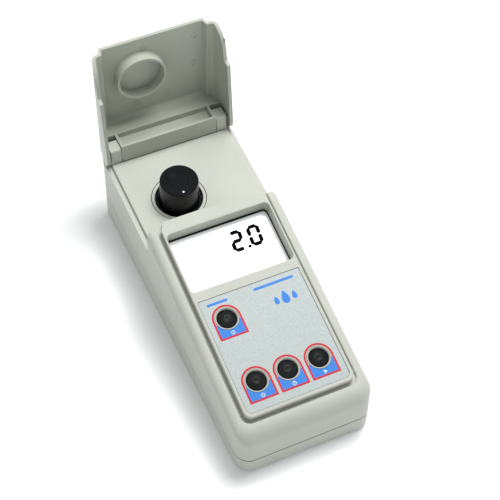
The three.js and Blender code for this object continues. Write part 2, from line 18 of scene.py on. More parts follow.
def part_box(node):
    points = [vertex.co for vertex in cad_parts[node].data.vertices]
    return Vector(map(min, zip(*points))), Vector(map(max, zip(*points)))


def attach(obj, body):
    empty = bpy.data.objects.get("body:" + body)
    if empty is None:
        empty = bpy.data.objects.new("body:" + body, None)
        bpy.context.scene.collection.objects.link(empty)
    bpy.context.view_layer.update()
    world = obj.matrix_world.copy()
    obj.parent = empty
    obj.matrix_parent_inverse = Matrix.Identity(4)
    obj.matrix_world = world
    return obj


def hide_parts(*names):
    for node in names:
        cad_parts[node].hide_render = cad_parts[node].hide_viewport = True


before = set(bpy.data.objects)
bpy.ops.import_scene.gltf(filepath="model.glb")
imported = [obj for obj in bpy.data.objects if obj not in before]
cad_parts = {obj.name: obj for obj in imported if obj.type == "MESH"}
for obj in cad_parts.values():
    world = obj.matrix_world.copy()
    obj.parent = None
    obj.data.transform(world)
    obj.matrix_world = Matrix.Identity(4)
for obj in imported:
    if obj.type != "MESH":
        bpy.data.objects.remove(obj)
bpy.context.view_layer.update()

MM = 0.001
Point2 = tuple[float, float]
Point3 = tuple[float, float, float]
Colour = tuple[float, float, float]
log = logging.getLogger("photometer")


# ---------------------------------------------------------------- shader tools


class Socket:
    """One output of a shader node, with arithmetic on it."""

    def __init__(self, shader: "Shader", output: bpy.types.NodeSocket) -> None:
        """Keep the shader and the output socket."""
        self.shader = shader
        self.output = output

    def _maths(self, operation: str, *values: Any) -> "Socket":
        """Add a Math node on numbers or sockets, and give its output."""
        return self.shader.node("ShaderNodeMath", {"operation": operation}, dict(enumerate(values)))

    def __add__(self, other: Any) -> "Socket":
        """Sum."""
        return self._maths("ADD", self, other)

    __radd__ = __add__

    def __sub__(self, other: Any) -> "Socket":
        """Difference."""
        return self._maths("SUBTRACT", self, other)

    def __rsub__(self, other: Any) -> "Socket":
        """Difference with the socket on the right."""
        return self._maths("SUBTRACT", other, self)

    def __mul__(self, other: Any) -> "Socket":
        """Product."""
        return self._maths("MULTIPLY", self, other)

    __rmul__ = __mul__

    def clipped(self, low: float, high: float) -> "Socket":
        """Map the range low to high onto 0 to 1, held at both ends."""
        return self.shader.node("ShaderNodeMapRange", {"clamp": True},
                                {"Value": self, "From Min": low, "From Max": high})


class Shader:
    """A material with one Principled shader and the nodes that feed it."""

    def __init__(self, name: str) -> None:
        """Make an empty node material.

        Args:
            name: The material's name.
        """
        self.material = bpy.data.materials.new(name)
        self.material.use_nodes = True
        self.tree = self.material.node_tree
        self.surface = self.tree.nodes["Principled BSDF"]

    def node(self, kind: str, settings: dict[str, Any] | None = None,
             inputs: dict[Any, Any] | None = None, output: int | str = 0) -> Socket:
        """Add a node.

        Args:
            kind: The node's type name.
            settings: Properties set before the sockets.
            inputs: Socket names or numbers with values or sockets.
            output: Which output to give back.

        Returns:
            The chosen output.
        """
        made = self.tree.nodes.new(kind)
        for key, value in (settings or {}).items():
            setattr(made, key, value)
        for key, value in (inputs or {}).items():
            self._feed(made.inputs[key], value)
        return Socket(self, made.outputs[output])

    def _feed(self, socket: bpy.types.NodeSocket, value: Any) -> None:
        """Link a socket, or set its own value.

        Args:
            socket: The socket to feed.
            value: A Socket to link, or a number, colour or vector to set.
        """
        if isinstance(value, Socket):
            self.tree.links.new(value.output, socket)
        elif isinstance(value, tuple) and socket.type == "RGBA" and len(value) == 3:
            socket.default_value = (*value, 1.0)
        else:
            socket.default_value = value

    def set(self, **values: Any) -> None:
        """Set or link the Principled shader's sockets, with _ for a space in a name."""
        for key, value in values.items():
            self._feed(self.surface.inputs[key.replace("_", " ")], value)

    def place(self) -> Socket:
        """Give the surface's place on the object, in metres."""
        return self.node("ShaderNodeTexCoord", output="Object")

    def noise(self, scale: float, detail: float = 4.0, roughness: float = 0.55) -> Socket:
        """Add noise over the object's own metres, with some number of features per metre."""
        return self.node("ShaderNodeTexNoise", None, {
            "Vector": self.place(), "Scale": scale, "Detail": detail, "Roughness": roughness})

    def mix(self, factor: Any, low: Any, high: Any) -> Socket:
        """Blend two colours by a factor."""
        return self.node("ShaderNodeMix", {"data_type": "RGBA"}, {0: factor, 6: low, 7: high}, output=2)

    def bump(self, height: Socket, strength: float, distance: float) -> Socket:
        """Turn a height of 0 to 1 into a normal, with the height of 1 in metres."""
        return self.node("ShaderNodeBump", None, {"Height": height, "Strength": strength, "Distance": distance})


# ---------------------------------------------------------------- finishes


@dataclass(frozen=True)
class MouldedPlastic:
    """Spark-eroded moulded plastic: fine grain, faint flow and tone changes."""

    name: str
    colour: Colour
    roughness: float = 0.46
    grain: float = 5200.0
    depth: float = 0.00002
    strength: float = 0.35
    tone: float = 0.06

    def build(self) -> bpy.types.Material:
        """Make the material.

        Returns:
            The material.
        """
        shader = Shader(self.name)
        grain = shader.noise(self.grain, 2.0)
        cloud = shader.noise(26.0, 3.0)
        dark = tuple(c * (1 - self.tone) for c in self.colour)
        light = tuple(min(1.0, c * (1 + self.tone)) for c in self.colour)
        speck = shader.mix(cloud.clipped(0.3, 0.7), dark, light)
        fine = shader.mix(grain.clipped(0.35, 0.65), tuple(c * 0.97 for c in self.colour), light)
        shader.set(
            Base_Color=shader.mix(0.4, speck, fine),
            Roughness=self.roughness + (cloud - 0.5) * 0.12 + (grain - 0.5) * 0.1,
            Normal=shader.bump(grain, self.strength, self.depth),
        )
        shader.set(Specular_IOR_Level=0.42)
        return shader.material


@dataclass(frozen=True)
class SatinBlack:
    """Black moulded or rubber surface with a soft sheen and handling marks."""

    name: str
    colour: Colour = (0.011, 0.012, 0.014)
    roughness: float = 0.38
    grain: float = 3800.0
    coat: float = 0.0
    gloss: float = 0.3

    def build(self) -> bpy.types.Material:
        """Make the material.

        Returns:
            The material.
        """
        shader = Shader(self.name)
        grain = shader.noise(self.grain, 3.0)
        smear = shader.noise(140.0, 4.0, 0.6)
        shader.set(
            Base_Color=shader.mix(smear.clipped(0.35, 0.75), self.colour, tuple(c * 1.7 for c in self.colour)),
            Roughness=self.roughness + (smear - 0.5) * 0.22,
            Normal=shader.bump(grain, 0.3, 0.00002),
        )
        shader.set(Coat_Weight=self.coat, Coat_Roughness=0.2, Specular_IOR_Level=self.gloss)
        return shader.material


@dataclass(frozen=True)
class SpeckledFilm:
    """Printed film: silver-grey with fine lighter and darker specks under a satin face."""

    name: str = "label_film"
    base: Colour = (0.455, 0.50, 0.505)
    dark: Colour = (0.33, 0.365, 0.37)
    light: Colour = (0.60, 0.64, 0.64)

    def build(self) -> bpy.types.Material:
        """Make the material.

        Returns:
            The material.
        """
        shader = Shader(self.name)
        flakes = shader.noise(1900.0, 2.0, 0.7)
        drift = shader.noise(40.0, 3.0)
        low = shader.mix(flakes.clipped(0.30, 0.46), self.dark, self.base)
        full = shader.mix(flakes.clipped(0.56, 0.70), low, self.light)
        shader.set(
            Base_Color=full,
            Roughness=0.36 + (drift - 0.5) * 0.12,
            Normal=shader.bump(shader.noise(6000.0, 2.0), 0.15, 0.00001),
        )
        return shader.material


@dataclass(frozen=True)
class PrintInk:
    """Screen-printed ink, slightly uneven in tone."""

    name: str
    colour: Colour
    roughness: float = 0.4
    gloss: float = 0.2

    def build(self) -> bpy.types.Material:
        """Make the material.

        Returns:
            The material.
        """
        shader = Shader(self.name)
        mottle = shader.noise(2600.0, 3.0)
        shader.set(
            Base_Color=shader.mix(mottle.clipped(0.3, 0.7), tuple(c * 0.9 for c in self.colour), self.colour),
            Roughness=self.roughness + (mottle - 0.5) * 0.1,
        )
        shader.set(Specular_IOR_Level=self.gloss)
        return shader.material


@dataclass(frozen=True)
class DisplayFace:
    """White reflective display behind clear glass, with a faint painted glow."""

    name: str = "display_face"
    colour: Colour = (0.90, 0.92, 0.92)

    def build(self) -> bpy.types.Material:
        """Make the material.

        Returns:
            The material.
        """
        shader = Shader(self.name)
        cloud = shader.noise(18.0, 2.0)
        cells = shader.noise(2200.0, 1.0)
        tone = shader.mix(cloud.clipped(0.3, 0.7), tuple(c * 0.97 for c in self.colour), self.colour)
        shader.set(
            Base_Color=shader.mix(cells.clipped(0.2, 0.8) * 0.06, tone, (0.7, 0.73, 0.74)),
            Roughness=0.12 + cloud * 0.06,
        )
        # The faint emission is painted glow that brightens the reflective face; the display has no light of its
        # own
        shader.set(Coat_Weight=0.6, Coat_Roughness=0.06, Emission_Color=(*self.colour, 1.0),
                   Emission_Strength=0.06)
        return shader.material


@dataclass(frozen=True)
class ClearGlass:
    """Clear glass with faint waviness."""

    name: str = "clear_glass"
    tint: Colour = (0.93, 0.97, 0.96)

    def build(self) -> bpy.types.Material:
        """Make the material.

        Returns:
            The material.
        """
        shader = Shader(self.name)
        wave = shader.noise(120.0, 2.0)
        shader.set(
            Base_Color=shader.mix(wave.clipped(0.3, 0.7), self.tint, (0.98, 1.0, 0.99)),
            Roughness=0.02 + wave * 0.03,
            Normal=shader.bump(wave, 0.08, 0.0002),
        )
        shader.set(Transmission_Weight=1.0, IOR=1.5)
        return shader.material


@dataclass(frozen=True)
class Metal:
    """Metal with fine drawn or turned marks."""

    name: str
    colour: Colour = (0.62, 0.63, 0.65)
    roughness: float = 0.3

    def build(self) -> bpy.types.Material:
        """Make the material.

        Returns:
            The material.
        """
        shader = Shader(self.name)
        marks = shader.noise(2400.0, 4.0, 0.7)
        stain = shader.noise(160.0, 3.0)
        shader.set(
            Base_Color=shader.mix(stain.clipped(0.3, 0.7), tuple(c * 0.82 for c in self.colour), self.colour),
            Roughness=self.roughness + (marks - 0.5) * 0.2,
            Normal=shader.bump(marks, 0.2, 0.00001),
        )
        shader.set(Metallic=1.0)
        return shader.material


@dataclass(frozen=True)
class BoardLaminate:
    """Circuit board: green mask over a grid of copper tracks."""

    name: str = "board_laminate"
    mask: Colour = (0.012, 0.10, 0.045)
    track: Colour = (0.03, 0.19, 0.08)

    def build(self) -> bpy.types.Material:
        """Make the material.

        Returns:
            The material.
        """
        shader = Shader(self.name)
        tracks = shader.node("ShaderNodeTexBrick", {"offset": 0.37, "squash": 1.6}, {
            "Vector": shader.place(), "Scale": 240.0, "Mortar Size": 0.12, "Color1": (0, 0, 0),
            "Color2": (0, 0, 0), "Mortar": (1, 1, 1)}, output="Fac")
        weave = shader.noise(3000.0, 2.0)
        shader.set(
            Base_Color=shader.mix(tracks, self.mask, self.track),
            Roughness=0.34 + (weave - 0.5) * 0.2,
            Normal=shader.bump(tracks, 0.3, 0.00004),
        )
        return shader.material


@dataclass(frozen=True)
class OpenFoam:
    """Closed-cell foam with a pitted face."""

    name: str = "foam"
    colour: Colour = (0.03, 0.031, 0.034)

    def build(self) -> bpy.types.Material:
        """Make the material.

        Returns:
            The material.
        """
        shader = Shader(self.name)
        cells = shader.node("ShaderNodeTexVoronoi", None, {"Vector": shader.place(), "Scale": 1800.0})
        shader.set(
            Base_Color=shader.mix(cells.clipped(0.0, 0.5), self.colour, tuple(c * 2.4 for c in self.colour)),
            Roughness=0.9 + cells * 0.05,
            Normal=shader.bump(cells, 0.6, 0.0001),
        )
        return shader.material


class Finish(Enum):
    """Every finish on the object."""

    CASE = MouldedPlastic("case_plastic", (0.515, 0.522, 0.475))
    # Painted shade: the lid is the case plastic made darker and greener so that its hollow reads as shaded
    LID = MouldedPlastic("lid_plastic", (0.425, 0.442, 0.385), roughness=0.38)
    GRIP = MouldedPlastic("grip_texture", (0.44, 0.45, 0.41), 0.62, 1500.0, 0.0002, 0.9)
    RUBBER = SatinBlack("key_rubber", (0.006, 0.0065, 0.0075), 0.34, 4200.0, gloss=0.35)
    BLACK = SatinBlack("black_plastic", (0.004, 0.0045, 0.006), 0.30, gloss=0.22)
    # Painted shade: the dark brown cord in the parting line stands for the shadow inside the gap between the
    # shells
    SEAM = SatinBlack("seam_cord", (0.016, 0.010, 0.007), 0.8, gloss=0.1)
    PAD = SatinBlack("foot_rubber", (0.02, 0.02, 0.021), 0.7)
    CHIP = SatinBlack("chip_epoxy", (0.015, 0.015, 0.016), 0.5)
    FILM = SpeckledFilm()
    RED = PrintInk("red_ink", (0.62, 0.035, 0.045))
    SKY = PrintInk("light_blue_ink", (0.06, 0.24, 0.72))
    WHITE = PrintInk("white_ink", (0.86, 0.87, 0.88))
    SEGMENT = PrintInk("display_segment", (0.003, 0.003, 0.004), 0.85, 0.0)
    SCREEN = DisplayFace()
    GLASS = ClearGlass()
    STEEL = Metal("steel")
    BRASS = Metal("filter_brass", (0.62, 0.45, 0.20), 0.28)
    BATTERY = Metal("battery_wrap", (0.10, 0.11, 0.13), 0.35)
    BOARD = BoardLaminate()
    FOAM = OpenFoam()

    def material(self) -> bpy.types.Material:
        """Give the finish's material, made once.

        Returns:
            The material.
        """
        made = bpy.data.materials.get("finish_" + self.name.lower())
        if made is None:
            made = self.value.build()
            made.name = "finish_" + self.name.lower()
        return made


# ---------------------------------------------------------------- solids

SIDEWAYS = Matrix(((0, 0, 1, 0), (1, 0, 0, 0), (0, 1, 0, 0), (0, 0, 0, 1)))
FLAT = Matrix.Identity(4)


def rounded(x0: float, y0: float, x1: float, y1: float, front: float, rear: float | None = None,
            steps: int = 8) -> list[tuple[float, float, float]]:
    """Trace a rectangle with round corners, counter-clockwise from the front right corner.

    Args:
        x0: Left side.
        y0: Front side.
        x1: Right side.
        y1: Rear side.
        front: Radius of the two front corners.
        rear: Radius of the two rear corners, or None for the same.
        steps: Edges in each corner.

    Returns:
        Points of X, Y and the angle that the outline faces.
    """
    rear = front if rear is None else rear
    corners = ((x1, y0, -1, 1, front, 270), (x1, y1, -1, -1, rear, 0),
               (x0, y1, 1, -1, rear, 90), (x0, y0, 1, 1, front, 180))
    points = []
    for x, y, side, way, radius, start in corners:
        for step in range(steps + 1):
            angle = math.radians(start + 90 * step / steps)
            points.append((x + side * radius + radius * math.cos(angle),
                           y + way * radius + radius * math.sin(angle), angle))
    return points


class Solid:
    """A closed mesh in millimetres that can be cut by, or joined to, another."""

    def __init__(self, mesh: bpy.types.Mesh) -> None:
        """Keep the mesh."""
        self.mesh = mesh

    @classmethod
    def loft(cls, loops: Sequence[Sequence[Point3]], ring: bool = False) -> "Solid":
        """Skin a row of loops that have the same number of points.

        Args:
            loops: The loops in order.
            ring: Join the last loop to the first, instead of closing both ends.

        Returns:
            The solid.
        """
        made = bmesh.new()
        rows = [[made.verts.new(point) for point in loop] for loop in loops]
        pairs = list(zip(rows, rows[1:])) + ([(rows[-1], rows[0])] if ring else [])
        for low, high in pairs:
            for index in range(len(low)):
                after = (index + 1) % len(low)
                made.faces.new((low[index], low[after], high[after], high[index]))
        if not ring:
            made.faces.new(rows[0][::-1])
            made.faces.new(rows[-1])
        bmesh.ops.remove_doubles(made, verts=made.verts, dist=1e-4)
        bmesh.ops.recalc_face_normals(made, faces=made.faces)
        return cls._kept(made)

    @classmethod
    def prism(cls, outline: Sequence[Sequence[float]], low: float, high: float, turn: Matrix = FLAT) -> "Solid":
        """Push an outline of X and Y from one level to another, and turn it."""
        return cls.loft([[(p[0], p[1], level) for p in outline] for level in (low, high)]).moved(turn)

    @classmethod
    def turned(cls, profile: Sequence[Point2], segments: int = 64) -> "Solid":
        """Turn a profile of radius and height about the Z axis.

        Args:
            profile: Points that start and end on the axis, or that close on themselves.
            segments: Faces around the axis.

        Returns:
            The solid.
        """
        closed = min(r for r, _ in profile) > 1e-6
        turns = [math.tau * k / segments for k in range(segments)]
        loops = [[(max(r, 1e-5) * math.cos(a), max(r, 1e-5) * math.sin(a), h) for a in turns]
                 for r, h in profile]
        return cls.loft(loops, ring=closed)

    @classmethod
    def slab(cls, x0: float, y0: float, x1: float, y1: float, low: float, high: float,
             corner: float, edge: float, rear: float | None = None, flare: bool = False) -> "Solid":
        """Make a plate with round corners and one rolled edge.

        Args:
            x0: Left side.
            y0: Front side.
            x1: Right side.
            y1: Rear side.
            low: Underside.
            high: Level of the face that has the rolled edge.
            corner: Radius of the front corners.
            edge: Radius of the rolled edge.
            rear: Radius of the rear corners, or None for the same.
            flare: Roll outwards, as a cutter that rounds the rim of its own hole.

        Returns:
            The solid.
        """
        rear = corner if rear is None else rear
        sign = -1.0 if flare else 1.0
        levels = [(low, 0.0)] + rolled(edge, high) + ([(high + 30, edge)] if flare else [])
        loops = []
        for level, roll in levels:
            inset = sign * roll
            loops.append([(p[0], p[1], level) for p in rounded(
                x0 + inset, y0 + inset, x1 - inset, y1 - inset,
                max(0.05, corner - inset), max(0.05, rear - inset))])
        return cls.loft(loops)

    @classmethod
    def _kept(cls, made: bmesh.types.BMesh) -> "Solid":
        """Turn working geometry into a kept mesh.

        Args:
            made: The working geometry, freed here.

        Returns:
            The solid.
        """
        mesh = bpy.data.meshes.new("solid")
        made.to_mesh(mesh)
        made.free()
        return cls(mesh)

    def moved(self, matrix: Matrix) -> "Solid":
        """Move the solid, and give it back.

        Args:
            matrix: The move.

        Returns:
            The same solid.
        """
        self.mesh.transform(matrix)
        if matrix.determinant() < 0:
            self.mesh.flip_normals()
        return self

    def _boolean(self, operation: str, others: Iterable["Solid"]) -> "Solid":
        """Apply one boolean after another.

        Args:
            operation: UNION, DIFFERENCE or INTERSECT.
            others: The other solids.

        Returns:
            This solid, changed.
        """
        for other in others:
            base, tool = (bpy.data.objects.new("working", s.mesh) for s in (self, other))
            for thing in (base, tool):
                bpy.context.scene.collection.objects.link(thing)
            step = base.modifiers.new("boolean", "BOOLEAN")
            step.operation, step.solver, step.object = operation, "EXACT", tool
            shaped = base.evaluated_get(bpy.context.evaluated_depsgraph_get())
            self.mesh = bpy.data.meshes.new_from_object(shaped)
            for thing in (base, tool):
                bpy.data.objects.remove(thing)
        return self

    def join(self, *others: "Solid") -> "Solid":
        """Add other solids."""
        return self._boolean("UNION", others)

    def cut(self, *others: "Solid") -> "Solid":
        """Take other solids away."""
        return self._boolean("DIFFERENCE", others)

    def common(self, *others: "Solid") -> "Solid":
        """Keep only what is inside the other solids too."""
        return self._boolean("INTERSECT", others)


def rolled(radius: float, level: float, steps: int = 5) -> list[Point2]:
    """Trace a rolled top edge as levels, each with how far it lies inside."""
    turns = [math.pi / 2 * step / steps for step in range(steps + 1)]
    return [(level - radius * (1 - math.sin(t)), radius * (1 - math.cos(t))) for t in turns]


# ---------------------------------------------------------------- the instrument's own frame


@dataclass(frozen=True)
class Datum:
    """Case coordinates: millimetres from the middle plane, the front edge and the table."""

    panel_front: float = 39.73
    panel_slope: float = 0.2122
    rail_drop: float = 3.4
    deck_height: float = 51.14
    deck_slope: float = 0.065
    deck_start: float = 141.3
    parting_front: float = 13.4
    parting_rear: float = 22.1
    length: float = 219.4
    half: float = 42.5

    def scene(self) -> Matrix:
        """Give the matrix from case millimetres to the scene."""
        front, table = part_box("bottom_shell")[0][1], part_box("foot_1")[0][2]
        return Matrix.Translation((0.0, front, table)) @ Matrix.Scale(MM, 4)

    def case(self, point: Sequence[float]) -> Vector:
        """Give the case coordinates of a place in the scene."""
        return self.scene().inverted() @ Vector(point)

    def middle(self, node: str) -> Vector:
        """Give the middle of a node's box in case coordinates."""
        low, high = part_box(node)
        return (self.case(low) + self.case(high)) / 2

    def panel_z(self, y: float) -> float:
        """Give the height of the panel's face."""
        return self.panel_front + self.panel_slope * y

    def rail_z(self, y: float) -> float:
        """Give the height of the side rails' crest."""
        return self.panel_z(y) - self.rail_drop

    def deck_z(self, y: float) -> float:
        """Give the height of the rear deck."""
        return self.deck_height + self.deck_slope * (y - self.deck_start)

    def parting_z(self, y: float) -> float:
        """Give the height of the line where the shells meet."""
        return self.parting_front + (self.parting_rear - self.parting_front) * y / self.length

    def along(self, y: float) -> float:
        """Give the distance up the panel's slope of a place Y."""
        return y * math.sqrt(1 + self.panel_slope ** 2)

    def panel(self) -> Matrix:
        """Give the matrix from panel coordinates: X, distance up the slope, height off the face."""
        tilt = Matrix.Rotation(math.atan(self.panel_slope), 4, "X")
        return Matrix.Translation((0, 0, self.panel_front)) @ tilt

    def deck(self) -> Matrix:
        """Give the matrix from well coordinates: X and Y from the well's middle, height off the deck."""
        x, y = -10.0, 166.2
        return Matrix.Translation((x, y, self.deck_z(y))) @ Matrix.Rotation(math.atan(self.deck_slope), 4, "X")

    def hinge(self) -> Matrix:
        """Give the matrix from lid coordinates: X, back from the hinge, up from it."""
        pin = self.middle("hinge_pin_left")
        return Matrix.Translation((0, pin.y, pin.z))


DATUM = Datum()
KEYS = {"power": (-20.1, 70.2), "zero": (-19.6, 29.9), "timer": (0.0, 29.9), "read": (19.6, 29.9)}


@dataclass
class Piece:
    """One finished piece: its mesh, finish, body and the nodes that it stands for."""

    name: str
    solid: Solid
    finish: Finish
    body: str
    slot: str
    nodes: tuple[str, ...] = ()
    bevel: float = 0.0
    bevel_from: float = 32.0

    def place(self) -> bpy.types.Object:
        """Put the piece in the scene, smooth its edges, and tie it to its body.

        Returns:
            The object.
        """
        mesh = self.solid.mesh
        made = bmesh.new()
        made.from_mesh(mesh)
        bmesh.ops.remove_doubles(made, verts=made.verts, dist=0.004)
        bmesh.ops.dissolve_limit(made, angle_limit=math.radians(0.4), verts=made.verts, edges=made.edges)
        bmesh.ops.transform(made, matrix=DATUM.scene(), verts=made.verts)
        for face in made.faces:
            face.smooth = True
        made.to_mesh(mesh)
        made.free()
        mesh.name = self.name
        mesh.materials.clear()
        mesh.materials.append(self.finish.material())
        thing = bpy.data.objects.new(self.name, mesh)
        bpy.context.scene.collection.objects.link(thing)
        soften(thing, self.bevel, self.bevel_from)
        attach(thing, self.body)
        if self.nodes:
            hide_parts(*self.nodes)
        log.info("%s: %d faces on %s", self.name, len(mesh.polygons), self.body)
        return thing


def soften(thing: bpy.types.Object, width: float, angle: float = 32.0) -> None:
    """Round a piece's sharp edges and even out its shading.

    Args:
        thing: The piece.
        width: Width of the rounding in millimetres, or 0 for none.
        angle: The smallest turn, in degrees, that counts as an edge.
    """
    if width > 0:
        bevel = thing.modifiers.new("edges", "BEVEL")
        bevel.width, bevel.segments = width * MM, 3
        bevel.limit_method, bevel.angle_limit = "ANGLE", math.radians(angle)
        bevel.use_clamp_overlap = True
        bevel.harden_normals = False
    shade = thing.modifiers.new("shading", "WEIGHTED_NORMAL")
    shade.keep_sharp = False
    shade.weight = 80


# ---------------------------------------------------------------- case


@dataclass
class UpperShell:
    """Upper case: front shoulder, side rails, raised panel, window, rear deck and hinge lugs."""

    corner: float = 9.0
    wall: float = 2.4
    seam_gap: float = 0.35
    shoulder_z: float = 26.0
    shoulder_run: float = 7.0
    rail_radius: float = 5.0
    end_round: float = 2.4
    rail_end: float = 139.4
    rail_lean: float = 2.0
    groove: float = 1.9
    groove_depth: float = 5.1
    panel_half: float = 34.2
    panel_y: Point2 = (10.8, 138.0)
    label_half: float = 32.1
    label_y: Point2 = (13.2, 84.8)
    label_bed: float = 1.05
    window_half: float = 32.9
    window_y: Point2 = (91.4, 130.6)
    window_depth: float = 8.4
    deck_half: float = 39.1
    deck_end: float = 204.8
    under_deck_from: float = 138.9
    shelf_z: float = 52.7
    ledge_drop: float = 2.25
    well_hole: float = 17.1
    lug_x: Point2 = (32.2, 38.9)
    screws: tuple[Point2, ...] = ((-35.2, 20), (35.2, 20), (-35.2, 199), (35.2, 199))

    def hull(self, inset: float) -> Solid:
        """Loft the front part, whose shoulder is wide at the front and narrow along the rails.

        Args:
            inset: How far inside the outer face the surface runs.

        Returns:
            The solid.
        """
        half, side = DATUM.half - inset, self.rail_radius - inset * 0.6
        low = [(x, y, DATUM.parting_z(y) + self.seam_gap - inset * 5) for x, y, _ in rounded(
            -half, inset, half, self.rail_end - inset, self.corner - inset, 3.0)]
        loops = [low]
        steps = 12
        for step in range(steps + 1):
            t = math.pi / 2 * step / steps
            roll, rise = 1 - math.cos(t), math.sin(t)
            outline = rounded(
                -half + side * roll, 0.6 + inset + self.shoulder_run * roll, half - side * roll,
                self.rail_end - inset - (self.end_round + self.rail_lean) * roll,
                self.corner - inset - 2.4 * roll, 3.0 - 0.8 * roll)
            loop = []
            for x, y, facing in outline:
                crest = DATUM.rail_z(y) - inset
                ahead = max(0.0, -math.sin(facing)) ** 2
                behind = max(0.0, math.sin(facing)) ** 2
                edge = crest - side
                edge += ahead * (self.shoulder_z - inset - edge) + behind * (side - self.end_round)
                loop.append((x, y, edge + (crest - edge) * rise))
            loops.append(loop)
        return Solid.loft(loops)

    def side_profile(self, drop: float, inset: float) -> Solid:
        """Make the rear part's side view: ledge and shelf.

        Args:
            drop: How far below the outer face its top is.
            inset: How far inside the rear wall it ends.

        Returns:
            The solid, wider than the case.
        """
        end = DATUM.length - inset
        ledge = [(y, DATUM.deck_z(y) - self.ledge_drop - drop) for y in (self.deck_end - inset, 126.0 + inset)]
        points = [(126.0 + inset, DATUM.parting_z(126.0) + self.seam_gap - inset * 5),
                  (end, DATUM.parting_z(end) + self.seam_gap - inset * 5), (end - 0.5, self.shelf_z - drop),
                  (self.deck_end - inset, self.shelf_z - drop), *ledge]
        return Solid.prism(points, -60, 60, SIDEWAYS)

    def rear(self, inset: float) -> Solid:
        """Make the rear part below its deck.

        Args:
            inset: How far inside the outer face the surface runs.

        Returns:
            The solid.
        """
        half = DATUM.half - inset
        plan = rounded(-half, 120, half, DATUM.length - inset, 0.5, self.corner - inset, 10)
        return Solid.prism(plan, 0, 90).common(self.side_profile(inset, inset))

    def deck(self) -> Solid:
        """Make the raised deck, in well coordinates before it is placed.

        Returns:
            The solid, in place.
        """
        lean = math.cos(math.atan(DATUM.deck_slope))
        well_x, well_y = -10.0, 166.2
        return Solid.slab(-self.deck_half - well_x, (128 - well_y) / lean, self.deck_half - well_x,
                          (self.deck_end - well_y) / lean, -7, 0, 0.9, 0.7).moved(DATUM.deck())

    def on_panel(self, half: float, start: float, end: float, low: float, high: float, corner: float,
                 edge: float, rear: float | None = None, flare: bool = False) -> Solid:
        """Make a slab or cutter that lies along the control panel."""
        return Solid.slab(-half, DATUM.along(start), half, DATUM.along(end), low, high, corner, edge,
                          rear, flare).moved(DATUM.panel())

    def lug(self, side: int) -> Solid:
        """Make one hinge lug, rounded over its pin.

        Args:
            side: -1 for the left lug, 1 for the right.

        Returns:
            The solid.
        """
        pin = DATUM.middle("hinge_pin_left")
        near, far = sorted(side * x for x in self.lug_x)
        outline = rounded(pin.y - 5.3, self.shelf_z - 1, pin.y + 4, pin.z + 4.8, 0.6, 1.2)
        return Solid.prism([(y, z) for y, z, _ in outline], near, far, SIDEWAYS)

    def key_ring(self, x: float, y: float) -> Solid:
        """Make the thin collar that stands up through the label round a key.

        Args:
            x: The key's X.
            y: The key's Y.

        Returns:
            The solid.
        """
        ring = Solid.turned([(6.1, -3.2), (7.0, -3.2), (7.0, -0.26), (6.96, -0.14), (6.86, -0.1),
                             (6.6, -0.14), (6.1, -0.8)], 72)
        return ring.moved(DATUM.panel() @ Matrix.Translation((x, DATUM.along(y), 0)))

    def bore(self, x: float, y: float) -> Solid:
        """Make the cutter for one key's bore, with an eased rim.

        Args:
            x: The key's X.
            y: The key's Y.

        Returns:
            The solid.
        """
        cutter = Solid.turned([(0, -12), (6.1, -12), (6.1, -0.8), (6.6, -0.14), (6.86, -0.1),
                               (6.9, 4), (0, 4)], 72)
        return cutter.moved(DATUM.panel() @ Matrix.Translation((x, DATUM.along(y), 0)))

    def build(self) -> None:
        """Make the shell and put it in place."""
        start, end = self.panel_y
        shell = self.hull(0.0)
        shell.cut(self.on_panel(self.panel_half + self.groove, start - self.groove, 160, -self.groove_depth,
                                -3.3, 5.6, 0.95, flare=True))
        shell.join(
            self.rear(0.0), self.deck(),
            self.on_panel(self.panel_half, start, end, -9, 0, 4.5, 0.55),
            self.on_panel(32.4, end - 14, DATUM.deck_start - 0.2, -8, -2.6, 3, 0.9))
        inner = self.hull(self.wall)
        front, rear = self.under_deck_from, self.deck_end - self.wall
        under_deck = Solid.prism([
            (front, 26), (rear, 26), (rear, DATUM.deck_z(self.deck_end) - self.wall),
            (front, DATUM.deck_z(front) - self.wall),
        ], -self.deck_half + self.wall, self.deck_half - self.wall, SIDEWAYS)
        shell.cut(inner, self.rear(self.wall), under_deck,
                  self.on_panel(31.6, start + 2.8, end - 4, -12, -self.wall, 2, 0.4))
        lip = 1.6
        shell.join(
            self.on_panel(self.window_half + 1.25, self.window_y[0] - lip, self.window_y[1] + lip,
                          -self.window_depth, -2.0, 1, 0.1),
            self.lug(-1), self.lug(1))
        for x, y in self.screws:
            roof = DATUM.rail_z(y) - 2.1 if y < DATUM.deck_start else self.shelf_z - 1.2
            foot, top, stand = DATUM.parting_z(y) - 3, DATUM.parting_z(y) + 10, Matrix.Translation((x, y, 0))
            post = Solid.turned([(0, foot), (3.6, foot), (3.6, roof), (0, roof)], 32)
            hole = Solid.turned([(0, 0), (1.6, 0), (1.6, top), (0, top)], 20)
            shell.join(post.moved(stand))
            shell.cut(hole.moved(stand))
        pin, well = DATUM.middle("hinge_pin_left"), self.well_hole
        pin_hole = [(pin.y + 2.05 * math.cos(math.tau * k / 28), pin.z + 2.05 * math.sin(math.tau * k / 28))
                    for k in range(28)]
        shell.cut(
            self.on_panel(self.window_half, *self.window_y, -14, 0, 3, 0.8, flare=True),
            self.on_panel(self.label_half + 0.2, self.label_y[0] - 0.2, self.label_y[1] + 0.2, -self.label_bed,
                          0, 3.1, 0.22, 0.9, flare=True),
            Solid.turned([(0, -12), (well, -12), (well, -0.35), (well + 0.12, -0.1), (well + 0.35, 0),
                          (well + 0.35, 20), (0, 20)], 96).moved(DATUM.deck()),
            Solid.prism(pin_hole, -50, 50, SIDEWAYS))
        for x, y in KEYS.values():
            shell.join(self.key_ring(x, y))
            shell.cut(self.bore(x, y))
        Piece("upper_case", shell, Finish.CASE, "case", "case_plastic", ("top_shell",), 0.28).place()


